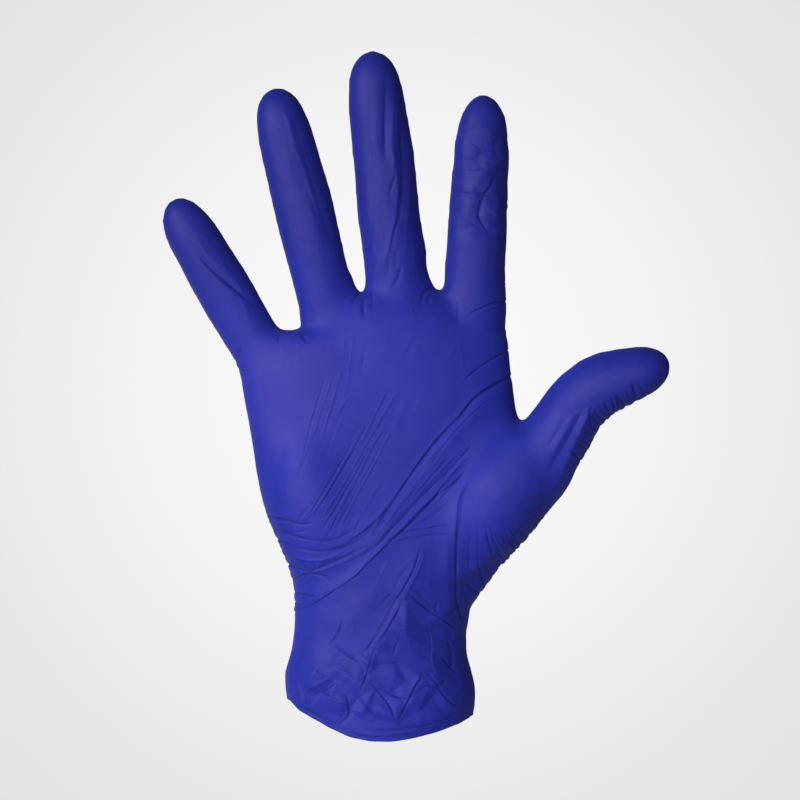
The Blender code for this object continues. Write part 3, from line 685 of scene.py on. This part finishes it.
# Where the slack film of the cuff is pushed out or pulled in, on the palm side: across, up, and how far.
# Flat facets run between these places. Those at the outer edges stay put.
CUFF_FACETS = """
-40 54 0  -22 56 0  -4 60 0  14 72 0  40 56 0  -40 28 0  -40 -4 0  40 28 0  40 -4 0  0 -4 0
# The two long folds that run down from the wrist.
5.4 48.8 -0.6  0.7 39.9 -0.7  -2.8 34.1 -0.8  -7.3 29.3 -0.6  11.6 59 0.2  9.2 48.8 0.6  2 38.6 0.4
-1.1 32.4 0.3  -3.7 26.6 0.4  2.7 35.9 -0.3  -1.1 30.6 -0.4  -4.6 21.7 -0.5  -12.6 39.9 0.3
-21.5 44.4 0.2  -26 35.5 0  -6 46 0.2  2 54 0.1
# The facets to the right of them.
8.6 37.7 1.3  14.1 39.9 0  14.6 33 -0.2  18.3 38.2 -1  18.3 30.1 -0.9  16.9 17.7 0.5
18.5 46 -0.3  13 52.6 -0.15  20.7 42.2 0.5  27.4 38.6 -0.5  25.2 46.2 0.1  24.3 28.8 -0.4
23 22.1 0.3  28.3 16.8 0.4
# The crumples above the lip.
17.6 26.5 0.4  13.6 22.1 0.8  6.9 13.2 0.6  11.4 30.6 -0.4  5.2 27.9 -0.5  -0.6 26.1 -0.4
0.7 20.4 -0.5  5.2 22.2 0.3  9.6 20.4 -0.5  2.9 15.9 -0.4  -10.9 28.8 -0.5  -18.4 35.5 -0.2
-15.3 20.8 -0.4  -19.8 17.7 -1  -26 15.5 -0.4  -14.9 24.4 0.8  -20.3 22.6 0.95  -17.1 15 0.9
-21.5 13.2 0.5  -12.2 16.4 -0.5  -8.2 14.1 -1  -13.1 13.2 0.7  -10.9 10.6 -0.9  -14.9 5.7 -0.8
-4.6 13.2 0.85  -2.8 10.6 -0.2  2 6.6 -0.5  6 4.3 -0.2  -6.4 7 -0.75  -6.4 10.1 0.4  -2 17.7 0.2
5.2 8.8 0.4  8.7 12.3 0.5  9.6 8.8 -0.4  14.5 13.7 0.5  13.2 8.8 -0.3  17.6 14.1 -0.5  22.5 9.7 0.4
20.3 17.7 -0.4  -26.8 10.4 0.3  -8.4 20 0.3  -28.8 22 0.2  -22 28 0.3
"""
# The same for the index finger's end.
INDEX_FACETS = """
20 166 0  26 172 0  35 168 0  44 168 0  50 172 0  20 190 0  50 190 0  22 212 0  50 212 0  35 230 0
26 222 0  45 222 0  29 211 0.28  34.9 219 -0.35  38.4 213 0.56  35.6 207 -0.56  33.7 202.3 -0.49
40.9 208 -0.49  42.4 214 0.28  29 205.5 0.42  30 198 0.21  37 198.6 0.49  41.5 197 -0.56
38.4 193 -0.14  33 194 0.35  27 191 -0.42  36 188 -0.7  31 187 0.35  41.9 190 -0.28  40 184 0.7
44.2 184.9 -0.28  34.5 183 -0.7  30 182 0.14  37.2 178 -0.7  43 179 0.14  29 177.5 -0.35
33 174.5 0.35  39.5 174 0.35  26.6 199 -0.28  27 184 -0.14  43.4 203.4 0.28
"""


def back_facets():
    """Facets of slack film at random places round the back of the cuff."""
    rng = np.random.default_rng(8)
    nodes = [(across, up, 0.0) for across in (-50, 50) for up in (-10, 20, 60)]
    for across in np.arange(-36, 37, 8.0):
        nodes.append((across, 58.0, 0.0))
        for up in np.arange(2, 50, 8.0):
            nodes.append((across + rng.uniform(-3, 3), up + rng.uniform(-3, 3), rng.uniform(-0.8, 0.8)))
    return nodes


def add_facets(field, places, nodes):
    """Adds to field the flat facets that run between the nodes. places are sorted from the lowest."""
    found = delaunay_2d_cdt([Vector(node[:2]) for node in nodes], [], [], 0, 1e-6)
    order = [came_from[0] for came_from in found[3]]
    corners = np.array(nodes, float)[order]
    for triangle in found[2]:
        a, b, c = corners[list(triangle)]
        levels = (a[1], b[1], c[1])
        first, last = np.searchsorted(places[:, 1], (min(levels), max(levels)))
        offset = places[first:last] - a[:2]
        ab, ac = b[:2] - a[:2], c[:2] - a[:2]
        area = ab[0] * ac[1] - ab[1] * ac[0]
        to_b = (offset[:, 0] * ac[1] - offset[:, 1] * ac[0]) / area
        to_c = (ab[0] * offset[:, 1] - ab[1] * offset[:, 0]) / area
        inside = np.flatnonzero((to_b >= 0) & (to_c > 0) & (to_b + to_c <= 1))
        rise = a[2] + to_b[inside] * (b[2] - a[2]) + to_c[inside] * (c[2] - a[2])
        field[first + inside] += rise


# Where the folds of the palm side give way to those of the back, by how far a vertex faces the front.
PALM_FACING = (-0.4, 0.05)
FACET_SOFTENING = 4
REFINE_SLOPE = 0.14


def relief(mesh):
    """(height of the folds along the normal, painted shade along their lines) at each vertex."""
    points, normals = points_of(mesh), normals_of(mesh)
    field = np.zeros(len(points))
    facets = np.zeros(len(points))
    shade = np.zeros(len(points))
    palm_side = smoothstep(*PALM_FACING, -normals[:, 1])
    palm_folds = folds_of(PALM_FOLDS + BROAD_FOLDS + FINGER_FOLDS) + small_palm_folds()
    palm_facets = [rows(nodes, 3) for nodes in (CUFF_FACETS, INDEX_FACETS)]
    sides = (
        (palm_side, seen_places(points), palm_folds, palm_facets),
        (1 - palm_side, points[:, [0, 2]], back_folds(), [back_facets()]),
    )
    for amount, places, folds, facet_nodes in sides:
        facing = np.flatnonzero(amount > 0)
        facing = facing[np.argsort(places[facing, 1])]
        side_field, side_facets, side_shade = np.zeros((3, len(facing)))
        for fold in folds:
            add_fold(side_field, side_shade, places[facing], fold)
        for nodes in facet_nodes:
            add_facets(side_facets, places[facing], nodes)
        facets[facing] += side_facets * amount[facing]
        field[facing] += side_field * amount[facing]
        shade[facing] = np.maximum(shade[facing], side_shade * amount[facing])
    edges = edges_of(mesh)
    for _ in range(FACET_SOFTENING):
        facets = 0.5 * facets + 0.5 * neighbour_mean(facets[:, None], edges)[:, 0]
    return field + facets, shade


def refined(mesh, field):
    """Divides the mesh once more where the relief is steep."""
    edges = edges_of(mesh)
    points = points_of(mesh)
    run = np.linalg.norm(points[edges[:, 0]] - points[edges[:, 1]], axis=1)
    steep = np.abs(field[edges[:, 0]] - field[edges[:, 1]]) / run > REFINE_SLOPE
    marked = np.zeros(len(field), bool)
    marked[edges[steep].ravel()] = True
    marked[edges[marked[edges].any(1)].ravel()] = True
    with editing(mesh) as bm:
        chosen = [bm.edges[i] for i in np.flatnonzero(marked[edges].all(1))]
        bmesh.ops.subdivide_edges(bm, edges=chosen, cuts=1, use_grid_fill=True)


refined(skin.data, relief(skin.data)[0])
smooth_normals = normals_of(skin.data)
smooth_points = points_of(skin.data)
# lines is the painted shade along the folds, which the crease attribute carries into the colour.
heights, lines = relief(skin.data)
set_points(skin.data, smooth_points + heights[:, None] * smooth_normals)
skin.data.attributes.new("crease", "FLOAT", "POINT").data.foreach_set("value", lines)

# --- Parting the film ---

WRIST_BELOW, WRIST_ABOVE = 33.0, 67.0
DIGIT_REACH = 20.0
CUT_BAND = 3
LIP_STATIONS = 20
LIP_RAISE, LIP_RAISE_AT, LIP_RAISE_REACH = 0.8, 22, 10
# For each digit: where each bend starts and ends, along the digit from its root hinge.
BENDS = {
    "index": ((-7.0, 8.5), (10.5, 29.0), (31.0, 45.0)),
    "middle": ((-5.8, 10.0), (15.0, 35.0), (43.0, 57.0)),
    "ring": ((-6.9, 8.5), (12.5, 32.5), (38.0, 52.0)),
    "little": ((-6.5, 8.2), (8.4, 24.8), (26.0, 40.0)),
    "thumb": ((-7.0, 9.0), (11.0, 26.0)),
}
# Lines that part neighbouring digits: a point of the web and the way between the two.
WEBS = {
    ("little", "ring"): ((-35.0, 144.0), (-0.37, 0.93)),
    ("ring", "middle"): ((-8.4, 157.8), (-0.18, 0.98)),
    ("middle", "index"): ((19.4, 157.1), (-0.03, 1.0)),
    ("index", "thumb"): ((48.8, 110.7), (0.45, 0.89)),
}


def cut_places(digit):
    """Where a digit's pieces part, along it from its root hinge."""
    bends = BENDS[digit.name]
    return [bends[0][0]] + [(before[1] + after[0]) / 2 for before, after in zip(bends, bends[1:])]


def between_webs(points, name):
    """Which points stand on the digit's own side of the web lines beside it."""
    inside = np.ones(len(points), bool)
    for (left, right), (web, way) in WEBS.items():
        turn = (points[:, 0] - web[0]) * way[1] - (points[:, 2] - web[1]) * way[0]
        if name == left:
            inside &= turn < 0
        if name == right:
            inside &= turn > 0
    return inside


def along_and_away(points, digit):
    """How far each point is along a digit from its root hinge, and how far from the digit's line."""
    level = (points - digit.root) @ digit.along
    return level, np.linalg.norm(points - digit.root - level[:, None] * digit.along, axis=1)


def lip_heights():
    """(centre, angles, heights) of the frame's bead round the sleeve, at even steps."""
    bead = points_of(frame["nodes"]["cuff_bead"].data) / MM
    middle = (bead.min(0) + bead.max(0)) / 2
    angle = np.arctan2(bead[:, 1] - middle[1], bead[:, 0] - middle[0])
    slot = ((angle + math.pi) / (2 * math.pi) * LIP_STATIONS).astype(int) % LIP_STATIONS
    angles = (np.arange(LIP_STATIONS) + 0.5) / LIP_STATIONS * 2 * math.pi - math.pi
    levels = [(bead[slot == k, 2].min() + bead[slot == k, 2].max()) / 2 for k in range(LIP_STATIONS)]
    return middle, angles, np.array(levels)


def lip_level(points):
    """The lip's height at the angle of each point."""
    middle, angles, levels = lip_heights()
    angle = np.arctan2(points[:, 1] - middle[1], points[:, 0] - middle[0])
    gap = (points[:, 0] + LIP_RAISE_AT) / LIP_RAISE_REACH
    raised = LIP_RAISE * np.exp(-(gap**2)) * (points[:, 1] < 0)
    return np.interp(angle, angles, levels, period=2 * math.pi) + raised


def cut(bm, faces, place, normal, clear_below=False):
    """Cuts the faces along a plane. clear_below removes what is behind it."""
    geometry = list({v for f in faces for v in f.verts}) + list({e for f in faces for e in f.edges}) + faces
    bmesh.ops.bisect_plane(
        bm, geom=geometry, plane_co=place, plane_no=normal, dist=1e-4, clear_inner=clear_below
    )


def shifted(mesh, amount):
    moved = points_of(mesh)
    moved[:, 2] += amount
    set_points(mesh, moved)


# The sleeve flares a little above the lip and draws in at it.
FLARE, FLARE_AT, FLARE_REACH = 0.3, 8, 5
FLARE_TOP = 25
NECK_HEIGHTS = (3.0, 0)
CUT_BELOW = 8

film = skin.data
flared = points_of(film)
above = flared[:, 2] - lip_level(flared)
flare = FLARE * np.exp(-(((above - FLARE_AT) / FLARE_REACH) ** 2)) - FLARE * smoothstep(*NECK_HEIGHTS, above)
flared += (flare * (above < FLARE_TOP))[:, None] * normals_of(film) * (1, 1, 0)
set_points(film, flared)
shifted(film, -lip_level(points_of(film)))
low_faces = np.flatnonzero(centres_of(film)[:, 2] < CUT_BELOW)
with editing(film) as bm:
    cut(bm, [bm.faces[i] for i in low_faces], (0, 0, 0), (0, 0, 1), clear_below=True)
shifted(film, lip_level(points_of(film)))

centres = centres_of(film)
cuts = [(np.abs(centres[:, 2] - z) < CUT_BAND, (0, 0, z), (0, 0, 1)) for z in (WRIST_BELOW, WRIST_ABOVE)]
for digit in digits.values():
    for place in cut_places(digit):
        level, radial = along_and_away(centres, digit)
        near = (np.abs(level - place) < CUT_BAND) & (radial < DIGIT_REACH)
        band = near & between_webs(centres, digit.name)
        cuts.append((band, digit.root + place * digit.along, digit.along))
with editing(film) as bm:
    chosen = [[bm.faces[i] for i in np.flatnonzero(band)] for band, _, _ in cuts]
    for faces, (_, place, normal) in zip(chosen, cuts):
        cut(bm, faces, place, normal)

film_points = points_of(film)
film_normals = normals_of(film)
film_crease_shade = read(film.attributes["crease"].data, "value")
face_starts = read(film.polygons, "loop_start", kind=np.int32)
face_sizes = read(film.polygons, "loop_total", kind=np.int32)
face_corners = read(film.loops, "vertex_index", kind=np.int32)
centres = centres_of(film)
piece_of_face = np.full(len(centres), "palm", dtype="<U16")
piece_of_face[centres[:, 2] < WRIST_ABOVE] = "wrist"
piece_of_face[centres[:, 2] < WRIST_BELOW] = "cuff"
PIECE_ENDS = {3: ("root", "middle", "tip"), 2: ("root", "tip")}
for digit in digits.values():
    own = between_webs(centres, digit.name)
    names = PIECE_ENDS[len(BENDS[digit.name])]
    for place, end in zip(cut_places(digit), names):
        level, radial = along_and_away(centres, digit)
        piece_of_face[own & (level > place) & (radial < DIGIT_REACH)] = digit.name + "_" + end

# --- The pieces ---

WALL = 0.12


def places_in_faces(counts):
    """Which corner of its own face each corner is, for faces with these numbers of corners."""
    ends = np.cumsum(counts)
    return np.arange(ends[-1]) - np.repeat(ends - counts, counts)


def piece_corners(label):
    """Of a part of the film: each face's corner count, the corners' vertices, and those after them."""
    chosen = np.flatnonzero(piece_of_face == label)
    counts = face_sizes[chosen]
    within = places_in_faces(counts)
    starts = np.repeat(face_starts[chosen], counts)
    following = (within + 1) % np.repeat(counts, counts)
    return counts, face_corners[starts + within], face_corners[starts + following]


def edge_keys(first, second):
    """One number for each edge, whichever way round its ends are."""
    return np.minimum(first, second).astype(np.int64) * (1 << 31) + np.maximum(first, second)


def boundary_edges(first, second):
    """The edges that only one face has, in that face's direction."""
    _, place, times = np.unique(edge_keys(first, second), return_index=True, return_counts=True)
    single = place[times == 1]
    return first[single], second[single]


def film_piece(name, label):
    """The part of the film with that label, as a closed thin wall."""
    counts, corners, following = piece_corners(label)
    used, outer = np.unique(corners, return_inverse=True)
    after = np.searchsorted(used, following)
    number = len(used)
    points, normals = film_points[used], film_normals[used]
    rim_a, rim_b = boundary_edges(outer, after)
    back = np.repeat(np.cumsum(counts), counts) - 1 - places_in_faces(counts)
    inner = outer[back] + number
    rim = np.stack([rim_b, rim_a, rim_a + number, rim_b + number], axis=1)
    all_corners = np.concatenate([outer, inner, rim.ravel()]).astype(np.int32)
    all_counts = np.concatenate([counts, counts, np.full(len(rim), 4)])
    mesh = bpy.data.meshes.new(name)
    mesh.vertices.add(2 * number)
    mesh.vertices.foreach_set("co", (np.vstack([points, points - WALL * normals]) * MM).ravel())
    mesh.loops.add(len(all_corners))
    mesh.loops.foreach_set("vertex_index", all_corners)
    mesh.polygons.add(len(all_counts))
    mesh.polygons.foreach_set("loop_start", (np.cumsum(all_counts) - all_counts).astype(np.int32))
    mesh.polygons.foreach_set("use_smooth", np.ones(len(all_counts), bool))
    mesh.update(calc_edges=True)
    mesh.validate()
    edges = edges_of(mesh)
    rim_keys = np.concatenate([edge_keys(rim_a, rim_b), edge_keys(rim_a + number, rim_b + number)])
    sharp = np.isin(edge_keys(edges[:, 0], edges[:, 1]), rim_keys)
    mesh.attributes.new("sharp_edge", "BOOLEAN", "EDGE").data.foreach_set("value", sharp)
    corner_normals = np.vstack([normals, -normals])[all_corners]
    flat = read(mesh.polygons, "normal", 3)
    corner_normals[-4 * len(rim):] = np.repeat(flat[-len(rim):], 4, axis=0)
    mesh.normals_split_custom_set(corner_normals.tolist())
    # The painted shade of the creases, the same on the outer and the inner wall.
    creases = np.tile(film_crease_shade[used], 2)
    mesh.attributes.new("crease", "FLOAT", "POINT").data.foreach_set("value", creases)
    return placed(name, mesh)


LIP_RADIUS = 0.60
LIP_INSET = 0.55
LIP_SIDES = 12
LIP_STEPS = 260


def lip_loop():
    """The film's lower edge, as points in order round the sleeve at even steps."""
    _, corners, following = piece_corners("cuff")
    first, second = boundary_edges(corners, following)
    follow = {a: b for a, b in zip(first.tolist(), second.tolist()) if film_points[a, 2] < WRIST_BELOW - 1}
    loop = [next(iter(follow))]
    while follow[loop[-1]] != loop[0]:
        loop.append(follow[loop[-1]])
    points = film_points[loop + loop[:1]]
    arc = np.concatenate([[0], np.cumsum(np.linalg.norm(np.diff(points, axis=0), axis=1))])
    even = np.linspace(0, arc[-1], LIP_STEPS, endpoint=False)
    return np.stack([np.interp(even, arc, points[:, k]) for k in range(3)], axis=1)


def lip_piece():
    """The rolled lip: a tube round the film's lower edge, a little uneven in thickness."""
    ring = lip_loop()
    for _ in range(2):
        ring = 0.5 * ring + 0.25 * (np.roll(ring, 1, axis=0) + np.roll(ring, -1, axis=0))
    tangent = np.roll(ring, -1, axis=0) - np.roll(ring, 1, axis=0)
    tangent /= np.linalg.norm(tangent, axis=1)[:, None]
    up = np.array([0.0, 0.0, 1.0]) - tangent[:, 2:] * tangent
    up /= np.linalg.norm(up, axis=1)[:, None]
    side = np.cross(tangent, up)
    turn = np.arange(LIP_STEPS) / LIP_STEPS * 2 * math.pi
    outward = np.cross(up, tangent)
    outward *= np.sign((outward * (ring - ring.mean(0))).sum(1).mean())
    ring = ring - LIP_INSET * outward
    radius = LIP_RADIUS * (1 + 0.07 * np.sin(9 * turn + 1) + 0.05 * np.sin(23 * turn))
    angles = [2 * math.pi * k / LIP_SIDES for k in range(LIP_SIDES)]
    sides = [ring + radius[:, None] * (math.cos(angle) * side + math.sin(angle) * up) for angle in angles]
    vertices = np.stack(sides, axis=1).reshape(-1, 3) * MM
    faces = []
    for i in range(LIP_STEPS):
        j = (i + 1) % LIP_STEPS
        for k in range(LIP_SIDES):
            n = (k + 1) % LIP_SIDES
            faces.append((i * LIP_SIDES + k, i * LIP_SIDES + n, j * LIP_SIDES + n, j * LIP_SIDES + k))
    obj = new_object("cuff_lip", vertices.tolist(), faces)
    face_outwards(obj.data)
    obj.data.polygons.foreach_set("use_smooth", [True] * len(obj.data.polygons))
    return obj


# --- Materials ---

BLUE_DEEP = (0.0095, 0.0185, 0.270)
BLUE_BRIGHT = (0.0135, 0.0240, 0.340)
# Painted shade: the dark blue that the crease attribute mixes into the colour along the fold lines.
BLUE_PAINTED_CREASE_SHADE = (0.0030, 0.0060, 0.150)
# Where the film is paler, at the side of the palm, and how far from there that lasts, in metres.
PALE_PATCH = (-0.038, -0.017, 0.124)
PALE_REACH, PALE_AMOUNT = (0.004, 0.032), 0.32
BLUE_PALE = (0.0480, 0.0370, 0.310)
# The film is stretched round this place, and slack and a little darker further out.
HAND_MIDDLE = (0.0, -0.015, 0.060)
STRETCH_REACH, SLACK_AMOUNT = (0.085, 0.128), 0.75
BLUE_UNSTRETCHED = (0.0065, 0.0120, 0.190)


def grey(value):
    return (value,) * 3


def feed(socket, value):
    """Sets a node's input to a value, or links it to another node's output."""
    if isinstance(value, bpy.types.NodeSocket):
        socket.id_data.links.new(value, socket)
    else:
        socket.default_value = value


def feed_inputs(node, **values):
    for key, value in values.items():
        feed(node.inputs[key.replace("_", " ")], value)


def add_node(tree, kind, **values):
    node = tree.nodes.new("ShaderNode" + kind)
    feed_inputs(node, **values)
    return node


def distance_from(tree, place, middle):
    node = add_node(tree, "VectorMath")
    node.operation = "DISTANCE"
    feed(node.inputs[0], place)
    feed(node.inputs[1], middle)
    return node.outputs["Value"]


def ramp(tree, value, stops, interpolation="LINEAR"):
    """Turns a value into a colour. Each stop is a position and its colour."""
    node = add_node(tree, "ValToRGB", Fac=value)
    node.color_ramp.interpolation = interpolation
    for element, (position, colour) in zip(node.color_ramp.elements, stops):
        element.position = position
        element.color = (*colour, 1)
    return node.outputs["Color"]


def mix_to_output(tree, output, amount, first, second):
    """Sends a mix of two shader nodes to the tree's output."""
    mixed = add_node(tree, "MixShader", Fac=amount)
    feed(mixed.inputs[1], first.outputs[0])
    feed(mixed.inputs[2], second.outputs[0])
    feed(tree.nodes[output].inputs["Surface"], mixed.outputs["Shader"])


def nitrile(name):
    """Satin blue nitrile: a little uneven in colour and gloss, finely grained, with painted shade in its
    creases.
    """
    material = bpy.data.materials.new(name)
    material.use_nodes = True
    tree = material.node_tree
    place = add_node(tree, "TexCoord").outputs["Object"]

    def cloud(scale, detail):
        node = add_node(tree, "TexNoise", Vector=place, Scale=scale, Detail=detail, Roughness=0.55)
        return node.outputs["Fac"]

    def mix(amount, first, second):
        node = add_node(tree, "Mix")
        node.data_type = "RGBA"
        for k, value in ((0, amount), (6, first), (7, second)):
            feed(node.inputs[k], (*value, 1) if isinstance(value, tuple) else value)
        return node.outputs[2]

    broad = ramp(tree, cloud(28.0, 3.0), ((0.35, BLUE_DEEP), (0.65, BLUE_BRIGHT)))
    fine = ramp(tree, cloud(420.0, 4.0), ((0.3, BLUE_DEEP), (0.7, BLUE_BRIGHT)))
    patch_stops = zip(PALE_REACH, (grey(PALE_AMOUNT), grey(0.0)))
    patch = ramp(tree, distance_from(tree, place, PALE_PATCH), patch_stops)
    slack_stops = zip(STRETCH_REACH, (grey(0.0), grey(SLACK_AMOUNT)))
    slack = ramp(tree, distance_from(tree, place, HAND_MIDDLE), slack_stops)
    # Painted shade: the crease attribute darkens the colour towards a dark blue along the fold lines.
    crease = add_node(tree, "Attribute")
    crease.attribute_name = "crease"
    colour = mix(patch, mix(0.35, broad, fine), BLUE_PALE)
    colour = mix(crease.outputs["Fac"], mix(slack, colour, BLUE_UNSTRETCHED), BLUE_PAINTED_CREASE_SHADE)
    gloss = ramp(tree, cloud(90.0, 5.0), ((0.3, grey(0.52)), (0.7, grey(0.62))))
    uneven = add_node(tree, "Bump", Strength=0.10, Distance=0.0004, Height=cloud(260.0, 6.0))
    grain = add_node(tree, "Bump", Strength=0.12, Distance=0.0001, Height=cloud(2600.0, 2.0))
    feed(grain.inputs["Normal"], uneven.outputs["Normal"])
    shader = tree.nodes["Principled BSDF"]
    feed_inputs(shader, IOR=1.45, Specular_IOR_Level=0.31, Specular_Tint=(1.0, 0.8, 0.88, 1))
    feed_inputs(shader, Sheen_Weight=0.03, Sheen_Roughness=0.6)
    feed_inputs(shader, Base_Color=colour, Roughness=gloss, Normal=grain.outputs["Normal"])
    return material


film_material = nitrile("nitrile_film")
lip_material = nitrile("nitrile_lip")

pieces = {}
for label in sorted(set(piece_of_face)):
    obj = film_piece(label + "_film", label)
    obj.data.materials.append(film_material)
    pieces[label] = obj
lip = lip_piece()
lip.data.materials.append(lip_material)
bpy.data.objects.remove(skin)


def along(digit, place):
    return tuple((digit.root + place * digit.along) * MM)


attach(pieces["cuff"], "cuff")
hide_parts("cuff_sleeve")
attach(lip, "cuff")
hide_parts("cuff_bead")
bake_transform(pieces["wrist"])
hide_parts("wrist_crease")
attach(pieces["palm"], "palm")
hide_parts("palm_shell")
for name, digit in digits.items():
    stalls = ["lower", "middle", "tip"] if name != "thumb" else ["base", "tip"]
    for k, end in enumerate(PIECE_ENDS[len(BENDS[name])]):
        obj = pieces[name + "_" + end]
        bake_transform(obj)
        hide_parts(name + "_" + end + "_crease", name + "_" + stalls[k] + "_stall")

# --- Stage, light and camera ---

AMBIENT = (0.035, 0.042, 0.055)
# The backdrop's greys, and how far from the direction behind the glove they stand.
BACKDROP = ((0.01, grey(0.94)), (0.088, grey(0.76)))
BACKDROP_DIRECTION = (0.0, 1.0, 0.003)


def studio_world():
    """A pale backdrop that is brightest in the middle, and a dimmer light from all round on the object."""
    world = bpy.data.worlds.new("studio")
    world.use_nodes = True
    tree = world.node_tree
    apart = distance_from(tree, add_node(tree, "TexCoord").outputs["Generated"], BACKDROP_DIRECTION)
    backdrop = add_node(tree, "Background", Color=ramp(tree, apart, BACKDROP, "EASE"))
    ambient = tree.nodes["Background"]
    feed_inputs(ambient, Color=(*AMBIENT, 1))
    seen = add_node(tree, "LightPath").outputs["Is Camera Ray"]
    mix_to_output(tree, "World Output", seen, ambient, backdrop)
    bpy.context.scene.world = world


studio_world()

LIT_PLACE = (0, 0, 0.12)
# Each light's place, size in metres, and power in watts.
LIGHTS = {
    "key": ((-1.0, -0.95, 0.55), 0.6, 16.4),
    "front": ((-0.2, -1.3, 0.3), 0.7, 7.4),
    "fill": ((1.1, -0.6, 0.2), 0.8, 0.75),
    "behind": ((-1.0, 1.25, 0.6), 0.5, 22),
}


def area_light(name, place, size, power):
    light = bpy.data.lights.new(name, "AREA")
    light.energy = power
    light.size = size
    obj = placed(name, light)
    obj.location = place
    obj.rotation_euler = (Vector(LIT_PLACE) - Vector(place)).to_track_quat("-Z", "Y").to_euler()
    obj.visible_camera = False
    return obj


lights = {name: area_light(name, *settings) for name, settings in LIGHTS.items()}
lights["behind"].visible_glossy = False

FLOOR_LEVEL = -0.10
FLOOR_RADIUS = 1.3


def round_floor():
    """A pale floor, well below the glove, which is held in the air. It can be seen through from below."""
    mesh = bpy.data.meshes.new("floor")
    with editing(mesh) as bm:
        bmesh.ops.create_circle(bm, cap_ends=True, segments=96, radius=FLOOR_RADIUS)
        bmesh.ops.translate(bm, verts=bm.verts, vec=(0, 0, FLOOR_LEVEL))
    floor = placed("floor", mesh)
    material = bpy.data.materials.new("floor_paint")
    material.use_nodes = True
    tree = material.node_tree
    paint = tree.nodes["Principled BSDF"]
    feed_inputs(paint, Base_Color=(0.45, 0.45, 0.46, 1), Roughness=0.8)
    below = add_node(tree, "NewGeometry").outputs["Backfacing"]
    mix_to_output(tree, "Material Output", below, paint, add_node(tree, "BsdfTransparent"))
    mesh.materials.append(material)


round_floor()

view = bpy.data.cameras.new("camera")
view.sensor_width = SENSOR
view.lens = SENSOR * CAMERA_DISTANCE / VIEW_WIDTH
camera = placed("camera", view)
camera.location = (VIEW_CENTRE[0] * MM, -CAMERA_DISTANCE * MM, VIEW_CENTRE[1] * MM)
camera.rotation_euler = (math.pi / 2, 0, 0)
bpy.context.scene.camera = camera
bpy.context.scene.view_settings.view_transform = "Standard"
